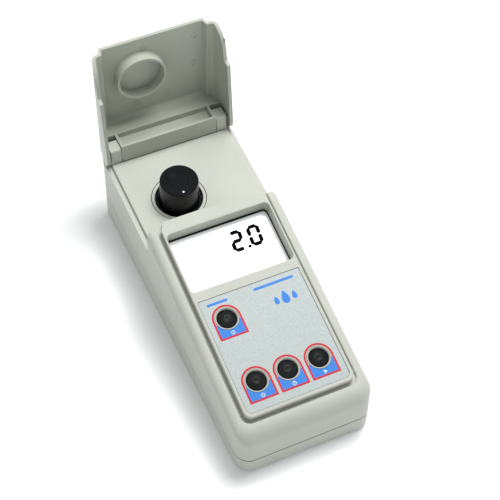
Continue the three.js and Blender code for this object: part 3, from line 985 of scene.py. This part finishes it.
@dataclass
class LowerShell:
    """Lower case: rounded tray with the battery bay, screw wells and foot beds."""

    base: float = 1.2
    wall: float = 2.4
    seam_gap: float = 0.35
    corner: float = 9.0
    foot_round: float = 1.6
    bay: Point2 = (55.4, 109.1)
    door_half: float = 15.0
    door_y: Point2 = (40.0, 112.0)
    door_thick: float = 2.0
    screws: tuple[Point2, ...] = ((-35.2, 20), (35.2, 20), (-35.2, 199), (35.2, 199))
    feet: tuple[Point2, ...] = ((-31, 36), (31, 36), (-31, 184), (31, 184))

    def plan(self, inset: float) -> list[tuple[float, float, float]]:
        """Trace the case's outline seen from above, at some distance inside its outer face."""
        return rounded(-DATUM.half + inset, inset, DATUM.half - inset, DATUM.length - inset,
                       self.corner - inset, steps=12)

    def tray(self, inset: float) -> Solid:
        """Loft the tray from its rounded floor to the parting line.

        Args:
            inset: How far inside the outer face the surface runs.

        Returns:
            The solid.
        """
        floor, edge = self.base + inset, self.foot_round
        levels = [(2 * (floor + edge / 2) - level, roll)
                  for level, roll in rolled(edge, floor + edge)][::-1]
        loops = []
        for level, roll in levels:
            grown = inset + roll
            loops.append([(x, y, level) for x, y, _ in self.plan(grown)])
        loops.append([(x, y, DATUM.parting_z(y) - self.seam_gap + inset * 2) for x, y, _ in self.plan(inset)])
        return Solid.loft(loops)

    @staticmethod
    def block(x0: float, x1: float, y0: float, y1: float, z0: float, z1: float) -> Solid:
        """Make a plain block for joining or cutting."""
        return Solid.slab(x0, y0, x1, y1, z0, z1, 0.4, 0.05)

    def build(self) -> None:
        """Make the shell and put it in place."""
        start, end = self.bay
        clear = 0.3
        shell = self.tray(0.0).cut(self.tray(self.wall))
        rim = self.door_half + 2
        shell.join(
            self.block(-rim, rim, self.door_y[0] - 2, start - 2.4, self.base + 1, 6),
            self.block(-15.6, 15.6, start - 1.8, end + 1.8, self.base + 1, 17))
        shell.cut(self.block(-13.8, 13.8, start, end, -2, 20),
                  self.block(-self.door_half - clear, self.door_half + clear, self.door_y[0] - clear,
                             self.door_y[1] + clear, -1, self.base + self.door_thick + clear))
        for x, y in self.screws:
            top = DATUM.parting_z(y) - 3.4
            shell.join(Solid.turned([(0, self.base + 1), (4.4, self.base + 1), (4.4, top), (0, top)], 36)
                       .moved(Matrix.Translation((x, y, 0))))
            shell.cut(Solid.turned([(0, -1), (3.2, -1), (3.2, 5.6), (1.7, 5.6), (1.7, 40), (0, 40)], 36)
                      .moved(Matrix.Translation((x, y, 0))))
        for x, y in self.feet:
            shell.cut(Solid.turned([(0, -1), (5.3, -1), (5.3, self.base + 1), (0, self.base + 1)], 40)
                      .moved(Matrix.Translation((x, y, 0))))
        Piece("lower_case", shell, Finish.CASE, "case", "case_plastic", ("bottom_shell",), 0.25).place()
        self.build_seam()

    def build_seam(self) -> None:
        """Lay a dark flat cord in the line between the shells, as painted shade for the shadowed parting gap.
        """
        loops = []
        for inset, lift in ((0.12, -0.33), (0.12, 0.33), (2.2, 0.33), (2.2, -0.33)):
            loops.append([(x, y, DATUM.parting_z(y) + lift) for x, y, _ in self.plan(inset)])
        Piece("seam_cord", Solid.loft(loops, ring=True), Finish.SEAM, "case", "rubber").place()


# ---------------------------------------------------------------- lid


@dataclass
class FlipLid:
    """Light lid: shallow shell with stepped sides, hinge trough, ribs and the ring that shades the well.

    Lid coordinates are X, V back from the hinge and U up from it, with the lid open.
    """

    wall: float = 2.2
    taper: float = 1.9
    length: float = 69.2
    back: float = 19.8
    rail: float = 15.4
    corner: float = 5.0
    tail: float = -7.8
    knuckle: float = 8.1
    lean: float = 0.11
    step: float = 46.0
    step_depth: float = 4.4
    ledge_top: float = 6.4
    ledge_front: float = 6.4
    fillet: float = 3.5
    band_front: float = -5.3
    pan_top: float = 2.4
    band_half: float = 31.9
    ring_place: Point2 = (-10.0, 42.7)
    ring_radii: Point2 = (14.4, 16.0)
    ring_height: float = 7.0
    grip_u: Point2 = (47.6, 63.0)
    grip_v: Point2 = (3.0, 10.3)
    pin_marks: tuple[Point2, ...] = (
        (27.5, 58.6), (-5.5, 61.0), (26.5, 35.8), (8.5, 17.0), (-12.0, 15.8), (-31.5, 27.0))

    @staticmethod
    def block(x0: float, x1: float, v0: float, v1: float, u0: float, u1: float, edge: float = 0.0) -> Solid:
        """Make a block, its top edge rolled if an edge radius is given."""
        return Solid.slab(min(x0, x1), v0, max(x0, x1), v1, u0, u1, max(0.1, edge), max(0.05, edge))

    def section(self, inset: float, low: float, high: float) -> Solid:
        """Push the lid's cross-section, with its raised middle, along U.

        Args:
            inset: How far inside the outer face the outline runs.
            low: Where it starts.
            high: Where it ends.

        Returns:
            The solid.
        """
        half, rail, back = DATUM.half - inset, self.rail - inset, self.back - inset
        radius = self.corner - inset
        narrow = half - self.taper
        quarter = [math.pi / 2 * k / 10 for k in range(11)]
        right = [(half, 0.0)]
        right += [(narrow - radius + radius * math.cos(t), rail - radius + radius * math.sin(t))
                  for t in quarter]
        ramp_out, ramp_in = 35.3 - inset * 0.5, 33.4 - inset * 0.6
        ease = [(ramp_out + (ramp_in - ramp_out) * k / 8,
                 rail + (back - rail) * (0.5 - 0.5 * math.cos(math.pi * k / 8))) for k in range(9)]
        upper = right + ease
        outline = [(half, -14.0), *upper, *[(-x, v) for x, v in reversed(upper)], (-half, -14.0)]
        return Solid.prism(outline, low, high)

    def draft(self, side: int) -> Matrix:
        """Give the shear that lays a flat patch on the tapered side wall.

        Args:
            side: -1 for the left wall, 1 for the right.

        Returns:
            The shear.
        """
        lean = Matrix.Identity(4)
        lean[0][1] = -side * self.taper / (self.rail - self.corner)
        return lean

    def rim(self, u: float) -> float:
        """Give the leaning rim's V at a height."""
        return -self.knuckle + self.lean * u

    def side(self) -> Solid:
        """Make the lid's side view: leaning rim, grip step, rounded front corner and knuckle.

        Returns:
            The solid, wider than the lid.
        """
        step, depth = self.step, self.step_depth
        points = [(self.rim(1.2), 1.2), (self.rim(step), step), (self.rim(step) + 1.2, step + 0.5),
                  (self.rim(step) + depth - 0.6, step + 1.0), (self.rim(step) + depth, step + 1.8)]
        start = Vector((self.rim(54) + depth, 54))
        bend = Vector((self.rim(66) + depth, 66))
        stop = Vector((self.rail - 3, self.length))
        for k in range(11):
            t = k / 10
            spot = start * (1 - t) ** 2 + bend * 2 * t * (1 - t) + stop * t ** 2
            points.append((spot.x, spot.y))
        points += [(self.back + 1, self.length), (self.back + 1, -12), (0, -12), (0, -self.knuckle)]
        points += [(self.knuckle * math.cos(a), self.knuckle * math.sin(a))
                   for a in (math.radians(-90 - 10 * k) for k in range(1, 10))]
        return Solid.prism(points, -60, 60, SIDEWAYS)

    def tail_profile(self) -> Solid:
        """Make the rounded lower back corner's cutter.

        Returns:
            The solid, wider than the lid.
        """
        centre = (self.back - 5, self.tail + 5)
        arc = [(centre[0] + 5 * math.sin(math.pi / 2 * k / 8), centre[1] - 5 * math.cos(math.pi / 2 * k / 8))
               for k in range(9)]
        return Solid.prism([(-9, self.tail), *arc, (self.back, 90), (-9, 90)], -60, 60, SIDEWAYS)

    def fittings(self) -> Solid:
        """Make the trough floor, its shelf, the hinge band and the two cross ribs.

        Returns:
            The joined solid.
        """
        half = DATUM.half - 1
        inner = self.back - self.wall + 0.2
        low = self.tail + 0.6
        made = self.block(-half, half, self.ledge_front, inner, low, self.ledge_top, 0.7)
        made.join(
            self.block(-half, half, -4, self.ledge_front + 0.5, low, self.tail + self.wall),
            self.block(-self.band_half, self.band_half, self.band_front, self.ledge_front + 0.5, low,
                       self.pan_top),
            self.block(-self.band_half, self.band_half, self.band_front, self.band_front + 1.8, self.tail + 1.3,
                       self.ledge_top, 0.3))
        face, radius = self.back - self.wall, self.fillet
        hollow = [(face - radius + radius * math.sin(math.pi / 2 * k / 8),
                   self.ledge_top + radius - radius * math.cos(math.pi / 2 * k / 8)) for k in range(9)]
        made.join(Solid.prism([(face - radius - 0.5, self.ledge_top - 0.5), (face + 0.3, self.ledge_top - 0.5),
                               (face + 0.3, self.ledge_top + radius), *hollow[::-1]], -half, half, SIDEWAYS))
        for side in (-1, 1):
            made.join(self.block(side * self.band_half, side * (self.band_half - 1.8), self.band_front + 0.3,
                                 self.ledge_front + 0.4, low, self.ledge_top - 0.3, 0.3))
        return made

    def ring(self) -> Solid:
        """Make the ring that closes round the well, rounded at its free edge and filleted at its root.

        Returns:
            The solid, on the lid's inner face.
        """
        inner, outer = self.ring_radii
        height = self.ring_height
        profile = [(inner, -0.3), (outer + 0.5, -0.3), (outer + 0.35, 0.08), (outer + 0.1, 0.3), (outer, 0.7),
                   (outer, height - 0.25), (outer - 0.08, height - 0.06), (outer - 0.25, height),
                   (inner + 0.25, height), (inner + 0.06, height - 0.06), (inner, height - 0.25)]
        x, u = self.ring_place
        face = self.back - self.wall
        turn = Matrix.Translation((x, face, u)) @ Matrix.Rotation(math.pi / 2, 4, "X")
        return Solid.turned(profile, 112).moved(turn)

    def build(self) -> None:
        """Make the lid and put it in place."""
        lid = self.section(0, self.tail, self.length).common(self.side(), self.tail_profile())
        lid.cut(self.section(self.wall, self.tail + self.wall, self.length + 5))
        lid.join(self.fittings().common(self.section(0.6, self.tail, self.length)), self.ring())
        for side in (-1, 1):
            lid.cut(self.block(side * self.band_half, side * (DATUM.half - self.wall), -12, 6.3, -12,
                               self.ledge_top + 1))
            wall = side * DATUM.half
            pocket = self.block(wall + side, wall - side * 0.35, *self.grip_v, *self.grip_u)
            lid.cut(pocket.moved(self.draft(side)))
        pin = [(2.05 * math.cos(math.tau * k / 28), 2.05 * math.sin(math.tau * k / 28)) for k in range(28)]
        lid.cut(Solid.prism(pin, -DATUM.half + 1, DATUM.half - 1, SIDEWAYS))
        face = self.back - self.wall
        for x, u in self.pin_marks:
            mark = Solid.turned([(1.5, -0.2), (2.1, -0.2), (2.1, 0.32), (1.5, 0.32)], 32)
            lid.join(mark.moved(Matrix.Translation((x, face, u)) @ Matrix.Rotation(math.pi / 2, 4, "X")))
        lid.moved(DATUM.hinge())
        Piece("flip_up_lid", lid, Finish.LID, "lid", "lid_plastic", ("flip_lid",), 0.32).place()
        for side, name in ((-1, "left"), (1, "right")):
            wall = side * (DATUM.half - 0.04)
            pad = self.block(wall, wall - side * 0.5, self.grip_v[0] + 0.15, self.grip_v[1] - 0.15,
                             self.grip_u[0] + 0.15, self.grip_u[1] - 0.15)
            pad.moved(DATUM.hinge() @ self.draft(side))
            Piece(f"lid_grip_{name}", pad, Finish.GRIP, "lid", "lid_plastic").place()


# ---------------------------------------------------------------- control panel


@dataclass
class ControlLabel:
    """Printed film on the panel, with a framed field round each key and plain ornament."""

    half: float = 32.1
    y: Point2 = (13.2, 84.8)
    top: float = -0.35
    thick: float = 0.4
    hole: float = 7.25
    frame_radius: float = 8.75
    frame_tail: float = 12.2
    frame_line: float = 1.15
    fill_from: float = -2.3
    ink: float = 0.05

    def at(self, x: float, y: float) -> Matrix:
        """Give the matrix of a place on the film's face."""
        return DATUM.panel() @ Matrix.Translation((x, DATUM.along(y), self.top))

    def arch(self, radius: float, tail: float, top: float | None = None) -> list[Point2]:
        """Trace a key's field: straight sides and a round head.

        Args:
            radius: Radius of the head, and half the width.
            tail: How far the field reaches below the key's middle.
            top: Cut the field off flat at this height instead of the round head.

        Returns:
            Points round the key's middle.
        """
        if top is not None:
            return [(-radius, -tail), (radius, -tail), (radius, top), (-radius, top)]
        head = [(radius * math.cos(math.pi * k / 40), radius * math.sin(math.pi * k / 40)) for k in range(41)]
        return [(-radius, -tail), (radius, -tail), *head]

    def disc(self, radius: float) -> Solid:
        """Make a round cutter through the ink."""
        return Solid.turned([(0, -3), (radius, -3), (radius, 3), (0, 3)], 72)

    def print_on(self, name: str, shape: Solid, finish: Finish, x: float, y: float) -> None:
        """Lay a printed shape on the film."""
        Piece(name, shape.moved(self.at(x, y)), finish, "case", "label_film").place()

    def stroke(self, x0: float, y0: float, x1: float, y1: float, width: float = 0.34) -> Solid:
        """Make a straight printed stroke between two points.

        Args:
            x0: X of its start.
            y0: Y of its start.
            x1: X of its end.
            y1: Y of its end.
            width: Its width.

        Returns:
            The solid.
        """
        run = Vector((x1 - x0, y1 - y0))
        turn = Matrix.Translation((x0, y0, 0)) @ Matrix.Rotation(math.atan2(run.y, run.x), 4, "Z")
        outline = [(p[0], p[1]) for p in rounded(0, -width / 2, run.length, width / 2, width * 0.3, steps=3)]
        return Solid.prism(outline, 0, self.ink * 2).moved(turn)

    def loop(self, radius: float, width: float = 0.34) -> Solid:
        """Make a printed ring."""
        inner, top = radius - width, self.ink * 2
        return Solid.turned([(inner, 0), (radius, 0), (radius, top), (inner, top)], 40)

    def symbol(self, key: str) -> Solid:
        """Make the plain symbol under one key.

        Args:
            key: The key's name.

        Returns:
            The symbol, about its own middle.
        """
        if key == "power":
            notch = Solid.prism([(-0.42, 0), (0.42, 0), (0.42, 2), (-0.42, 2)], -1, 1)
            return self.loop(1.15).cut(notch).join(self.stroke(0, 0.1, 0, 1.35))
        if key == "timer":
            return self.loop(1.2).join(self.stroke(0, -0.1, 0, 0.8, 0.26), self.stroke(-0.1, 0, 0.6, 0, 0.26))
        if key == "read":
            return Solid.prism([(-0.8, -1.1), (1.15, 0), (-0.8, 1.1)], 0, self.ink * 2)
        return self.loop(1.15, 0.4)

    def drop(self, height: float) -> Solid:
        """Make a printed drop of a given height.

        Args:
            height: Its height.

        Returns:
            The solid.
        """
        outline = []
        for k in range(48):
            a = math.tau * k / 48
            width = height * 0.33 * math.sin(a) * math.sin(a / 2) ** 1.1 * 1.12
            outline.append((width, height * 0.5 * math.cos(a)))
        return Solid.prism(outline[::-1], 0, self.ink)

    def build(self) -> None:
        """Make the film, the key fields, their symbols and the ornament."""
        film = Solid.slab(-self.half, DATUM.along(self.y[0]), self.half, DATUM.along(self.y[1]),
                          self.top - self.thick, self.top, 3.0, 0.08, 0.8).moved(DATUM.panel())
        for x, y in KEYS.values():
            film.cut(self.disc(self.hole).moved(self.at(x, y)))
        Piece("label_film", film, Finish.FILM, "case", "label_film", ("panel_label",)).place()
        inner = self.frame_radius - self.frame_line
        tail = self.frame_tail - self.frame_line
        for key, (x, y) in KEYS.items():
            outline = Solid.prism(self.arch(self.frame_radius, self.frame_tail), 0, self.ink)
            outline.cut(Solid.prism(self.arch(inner, tail), -1, 1))
            self.print_on(f"field_frame_{key}", outline, Finish.RED, x, y)
            fill = Solid.prism(self.arch(inner, tail, self.fill_from), 0, self.ink).cut(self.disc(self.hole))
            self.print_on(f"field_fill_{key}", fill, Finish.SKY, x, y)
            self.print_on(f"symbol_{key}", self.symbol(key), Finish.WHITE, x, y - 9.15)
        for name, x, width in (("left", -21.6, 13.0), ("right", 14.2, 25.6)):
            bar = Solid.prism(rounded(-width / 2, -0.8, width / 2, 0.8, 0.8), 0, self.ink)
            self.print_on(f"title_bar_{name}", bar, Finish.SKY, x, 81.0)
        for index, (x, y, height) in enumerate(((11.5, 70.4, 5.4), (17.2, 70.8, 8.6), (22.9, 70.4, 5.4))):
            self.print_on(f"drop_{index + 1}", self.drop(height), Finish.SKY, x, y)


@dataclass
class Keys:
    """Domed rubber keys in their bores."""

    radius: float = 5.9
    flange: float = 8.4

    def build(self) -> None:
        """Make the four keys and put them in place."""
        for key, (x, y) in KEYS.items():
            r = self.radius
            dome = [(r, -3.4), (r, -2.2), (r - 0.06, -1.9), (r - 0.25, -1.6), (r - 0.6, -1.35)]
            dome += [(rr, -1.24 + 0.9 * (1 - (rr / 5.2) ** 2)) for rr in (5.0, 4.4, 3.8, 3.2, 2.6, 2.0)]
            dome += [(1.6, -0.48), (1.0, -0.56), (0.0, -0.58)]
            stem = [(0, -8), (2.4, -8), (2.4, -5), (self.flange, -5), (self.flange, -3.4)]
            solid = Solid.turned(stem + dome, 72)
            solid.moved(DATUM.panel() @ Matrix.Translation((x, DATUM.along(y), 0)))
            Piece(f"key_{key}", solid, Finish.RUBBER, f"key_{key}", "rubber", (f"button_{key}",)).place()


@dataclass
class Display:
    """Liquid crystal display: white face under its glass, and the lit digits."""

    half: float = 35.0
    y: Point2 = (89.6, 131.9)
    face: float = -8.8
    thick: float = 2.0
    stroke: float = 2.5
    width: float = 8.4
    height: float = 14.2
    slant: float = 0.07
    ink: float = 0.04

    def sheet(self, half: float, start: float, end: float, corner: float, spare: float = 0.0) -> Solid:
        """Make a thin sheet that lies on the face, or a cutter that reaches past it by some spare."""
        return Solid.slab(-half, DATUM.along(start), half, DATUM.along(end), self.face - spare,
                          self.face + 0.06 + spare, corner, 0.02).moved(DATUM.panel())

    def bar(self, x0: float, y0: float, x1: float, y1: float) -> list[Point2]:
        """Trace one segment with pointed ends.

        Args:
            x0: X of its start.
            y0: Y of its start.
            x1: X of its end.
            y1: Y of its end.

        Returns:
            The outline.
        """
        run = Vector((x1 - x0, y1 - y0)).normalized()
        side = Vector((-run.y, run.x)) * self.stroke / 2
        gap = run * 0.08
        a, b = Vector((x0, y0)) + gap, Vector((x1, y1)) - gap
        nose = run * self.stroke * 0.4
        return [(p.x, p.y) for p in (a, a + nose - side, b - nose - side, b, b - nose + side, a + nose + side)]

    def digit(self, lit: str) -> list[list[Point2]]:
        """Give the outlines of a digit's lit segments.

        Args:
            lit: Letters a to g of the segments that show.

        Returns:
            One outline for each.
        """
        w, h = self.width - self.stroke, self.height - self.stroke
        ends = {"a": (0, h, w, h), "b": (w, h / 2, w, h), "c": (w, 0, w, h / 2), "d": (0, 0, w, 0),
                "e": (0, 0, 0, h / 2), "f": (0, h / 2, 0, h), "g": (0, h / 2, w, h / 2)}
        return [self.bar(*ends[letter]) for letter in lit]

    def lay(self, name: str, outline: Sequence[Sequence[float]], x: float, y: float) -> None:
        """Lay one dark shape on the face.

        Args:
            name: The piece's name.
            outline: Its outline, upright.
            x: Where it lies across.
            y: Where it lies from front to back.
        """
        leaning = [(p[0] + self.slant * p[1], p[1]) for p in outline]
        shape = Solid.prism(leaning, 0, self.ink)
        place = DATUM.panel() @ Matrix.Translation((x, DATUM.along(y), self.face))
        Piece(name, shape.moved(place), Finish.SEGMENT, "case", "screen_glass").place()

    def build(self) -> None:
        """Make the face and the reading."""
        face = Solid.slab(-self.half, DATUM.along(self.y[0]), self.half, DATUM.along(self.y[1]),
                          self.face - self.thick, self.face, 1.0, 0.25).moved(DATUM.panel())
        Piece("display_face", face, Finish.SCREEN, "case", "screen_glass", ("screen_glass",)).place()
        # Painted shade: a black border round the face stands for the shadow gap under the window's walls
        mask = self.sheet(self.half - 0.4, self.y[0] + 0.4, self.y[1] - 0.4, 1.0)
        mask.cut(self.sheet(32.2, 92.1, 129.5, 2.2, 1.0))
        Piece("display_mask", mask, Finish.BLACK, "case", "black_plastic").place()
        for place, (x, lit) in enumerate(((4.5, "abged"), (16.1, "abcdef"))):
            for letter, outline in zip(lit, self.digit(lit)):
                self.lay(f"reading_{place + 1}_{letter}", outline, x, 110.9)
        dot = [(1.1 * math.cos(math.tau * k / 20), 1.1 * math.sin(math.tau * k / 20)) for k in range(20)]
        self.lay("reading_point", dot, 13.7, 110.9)


# ---------------------------------------------------------------- sample well


@dataclass
class SampleWell:
    """Collar round the well, capped glass vial, and the foam ring under the deck."""

    hole: float = 14.8
    collar: float = 16.8
    cap_height: float = 17.4
    ribs: int = 6
    first_rib: float = 23.8
    dot: Point2 = (-0.9, -9.1)

    def build_collar(self) -> None:
        """Make the collar ring with its two eased edges."""
        ring = Solid.turned([
            (self.hole, -3.4), (self.collar, -3.4), (self.collar, -0.5), (self.collar - 0.15, -0.15),
            (self.collar - 0.5, 0), (self.hole + 0.55, 0), (self.hole + 0.16, -0.16), (self.hole, -0.55)], 112)
        Piece("well_ring", ring.moved(DATUM.deck()), Finish.CASE, "case", "case_plastic",
              ("well_collar",)).place()

    def build_cap(self) -> None:
        """Make the cap: knurled skirt, rolled top edge, raised ring and index dot."""
        top = self.cap_height
        rim = [(11.9 - roll, level) for level, roll in rolled(0.9, top, 7)]
        face = [(6.55, top), (6.4, top + 0.18), (6.0, top + 0.2), (5.7, top + 0.05), (5.3, top - 0.22),
                (4.9, top - 0.25), (0, top - 0.25)]
        skirt = [(0, 4), (7.5, 4), (7.5, 14.2), (9.3, 14.2), (9.3, -1.6), (12.05, -1.6), (12.05, 0.2)]
        cap = Solid.turned(skirt + rim + face, 112)
        for index in range(self.ribs):
            turn = Matrix.Rotation(math.radians(self.first_rib + 360 / self.ribs * index), 4, "Z")
            rib = Solid.loft([[(x, y, level) for x, y in ((11.2, -w), (r, -w * 0.6), (r, w * 0.6), (11.2, w))]
                              for level, r, w in ((-1.2, 12.6, 0.6), (7.0, 12.55, 0.55), (9.2, 12.4, 0.5),
                                                  (9.9, 11.9, 0.35))])
            cap.join(rib.moved(turn))
        Piece("cap", cap.moved(DATUM.deck()), Finish.BLACK, "cap", "black_plastic", ("vial_cap",),
              0.12, 40).place()
        spot = Solid.turned([(0, top - 0.05), (0.62, top - 0.05), (0.62, top + 0.03), (0, top + 0.03)], 28)
        spot.moved(DATUM.deck() @ Matrix.Translation((*self.dot, 0)))
        Piece("cap_index", spot, Finish.WHITE, "cap", "black_plastic").place()

    def build_vial(self) -> None:
        """Make the glass vial with its shoulder, neck and rounded foot."""
        outer = [(0, -43.1), (11.2, -43.1), (11.9, -42.8), (12.3, -42.1), (12.3, -5.4), (12.0, -4.0),
                 (11.2, -2.9), (9.9, -2.2), (9.2, -1.7), (9.0, -1.0), (9.0, 7.6), (8.8, 8.0)]
        inner = [(8.1, 8.0), (7.9, 7.6), (7.9, -1.8), (8.4, -3.0), (9.8, -3.9), (10.7, -4.9), (11.05, -6.2),
                 (11.1, -40.6), (10.4, -41.5), (0, -41.6)]
        vial = Solid.turned(outer + inner, 80)
        Piece("glass_vial", vial.moved(DATUM.deck()), Finish.GLASS, "vial", "vial_glass",
              ("sample_vial",)).place()

    def build_gasket(self) -> None:
        """Make the foam ring, bulging where nothing holds it."""
        profile = [(14.65, -8.6), (16.8, -8.6), (17.25, -8.1), (17.4, -6.5), (17.25, -4.8), (16.8, -4.3),
                   (15.0, -4.3), (14.65, -4.6)]
        ring = Piece("foam_ring", Solid.turned(profile, 72).moved(DATUM.deck()), Finish.FOAM, "case", "foam",
                     ("holder_gasket",)).place()

    def build(self) -> None:
        """Make all the well's pieces."""
        self.build_collar()
        self.build_cap()
        self.build_vial()
        self.build_gasket()


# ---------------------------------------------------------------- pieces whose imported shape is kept


@dataclass
class FittedParts:
    """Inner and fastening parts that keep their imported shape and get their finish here."""

    edge: float = 0.22
    finishes: tuple[tuple[Finish, tuple[str, ...]], ...] = (
        (Finish.STEEL, ("hinge_pin_left", "hinge_pin_right", "board_screw_left", "board_screw_right",
                        "case_screw_1", "case_screw_2", "case_screw_3", "case_screw_4",
                        "screen_backing", "photocell")),
        (Finish.CASE, ("battery_door",)),
        (Finish.BATTERY, ("battery",)),
        (Finish.BLACK, ("battery_snap", "screen_frame", "screen_connector", "sample_holder", "lamp_housing",
                        "detector_housing", "switch_power", "switch_zero", "switch_timer",
                        "switch_read", "buzzer")),
        (Finish.BOARD, ("main_board", "detector_board")),
        (Finish.CHIP, ("controller_chip", "amplifier_chip", "voltage_regulator")),
        (Finish.PAD, ("foot_1", "foot_2", "foot_3", "foot_4")),
        (Finish.GLASS, ("lamp", "light_lens")),
        (Finish.BRASS, ("light_filter",)),
    )

    def build(self) -> None:
        """Finish every kept part."""
        for finish, names in self.finishes:
            for name in names:
                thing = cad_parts[name]
                thing.data.materials.clear()
                thing.data.materials.append(finish.material())
                clean = thing.modifiers.new("facets", "DECIMATE")
                clean.decimate_type, clean.angle_limit = "DISSOLVE", math.radians(1.0)
                soften(thing, self.edge)
                log.info("%s: finished with %s", name, finish.name)


# ---------------------------------------------------------------- studio


@dataclass
class Studio:
    """Pale floor, soft lights and the camera."""

    target: Point3 = (0.0207, 0.0120, 0.030)
    azimuth: float = -25.674
    elevation: float = 52.419
    roll: float = 1.63
    distance: float = 0.87956
    lens: float = 102.318
    floor_radius: float = 2.6

    def build_camera(self) -> None:
        """Set the camera above the front left corner."""
        azimuth, elevation = math.radians(self.azimuth), math.radians(self.elevation)
        back = Vector((math.sin(azimuth) * math.cos(elevation), -math.cos(azimuth) * math.cos(elevation),
                       math.sin(elevation)))
        eye = bpy.data.objects.new("camera", bpy.data.cameras.new("camera"))
        bpy.context.scene.collection.objects.link(eye)
        turn = (-back).to_track_quat("-Z", "Y").to_matrix().to_4x4()
        turn = turn @ Matrix.Rotation(math.radians(self.roll), 4, "Z")
        eye.matrix_world = Matrix.Translation(Vector(self.target) + back * self.distance) @ turn
        eye.data.lens = self.lens
        bpy.context.scene.camera = eye

    def lamp(self, name: str, place: Point3, power: float, size: float, colour: Colour = (1, 1, 1),
             mirrored: bool = True) -> None:
        """Hang a square soft light that faces the instrument.

        Args:
            name: The light's name.
            place: Where it hangs, in metres.
            power: Its power in watts.
            size: Its side in metres.
            colour: Its colour.
            mirrored: Whether glossy surfaces show it.
        """
        light = bpy.data.lights.new(name, "AREA")
        light.energy, light.size, light.color = power, size, colour
        hung = bpy.data.objects.new(name, light)
        hung.visible_glossy = mirrored
        bpy.context.scene.collection.objects.link(hung)
        spot = Vector(place)
        hung.matrix_world = Matrix.Translation(spot) @ (-spot).to_track_quat("-Z", "Y").to_matrix().to_4x4()

    def build_floor(self) -> None:
        """Lay the floor."""
        made = bmesh.new()
        bmesh.ops.create_circle(made, cap_ends=True, segments=96, radius=self.floor_radius)
        mesh = bpy.data.meshes.new("floor")
        made.to_mesh(mesh)
        made.free()
        floor = bpy.data.objects.new("floor", mesh)
        bpy.context.scene.collection.objects.link(floor)
        shader = Shader("pale_floor")
        mottle = shader.noise(3.0, 2.0)
        shader.set(Base_Color=shader.mix(mottle.clipped(0.3, 0.7), (0.93, 0.935, 0.945), (0.95, 0.953, 0.958)),
                   Roughness=0.85 + mottle * 0.05)
        shader.set(Specular_IOR_Level=0.1, Emission_Color=(0.93, 0.95, 1.0, 1.0), Emission_Strength=0.13)
        mesh.materials.append(shader.material)

    def build_sky(self) -> None:
        """Light the room evenly from all round."""
        world = bpy.data.worlds.new("room")
        world.use_nodes = True
        bpy.context.scene.world = world
        sheet = world.node_tree.nodes["Background"]
        sheet.inputs["Color"].default_value = (0.90, 0.97, 0.93, 1.0)
        sheet.inputs["Strength"].default_value = 0.43
        bpy.context.scene.view_settings.view_transform = "Standard"

    def build(self) -> None:
        """Set up the studio."""
        self.build_camera()
        self.build_floor()
        self.build_sky()
        self.lamp("overhead", (0.36, 0.20, 1.2), 15.6, 0.62, (1.0, 0.99, 0.985), False)
        self.lamp("sparkle", (0.317, 0.216, 1.134), 1.1, 0.14)


def main() -> None:
    """Build every piece in order."""
    logging.basicConfig(level=logging.INFO, format="%(name)s: %(message)s")
    for assembly in (Studio(), UpperShell(), LowerShell(), FlipLid(), ControlLabel(), Keys(), Display(),
                     SampleWell(), FittedParts()):
        log.info("building %s", type(assembly).__name__)
        assembly.build()


if __name__ == "__main__":
    main()
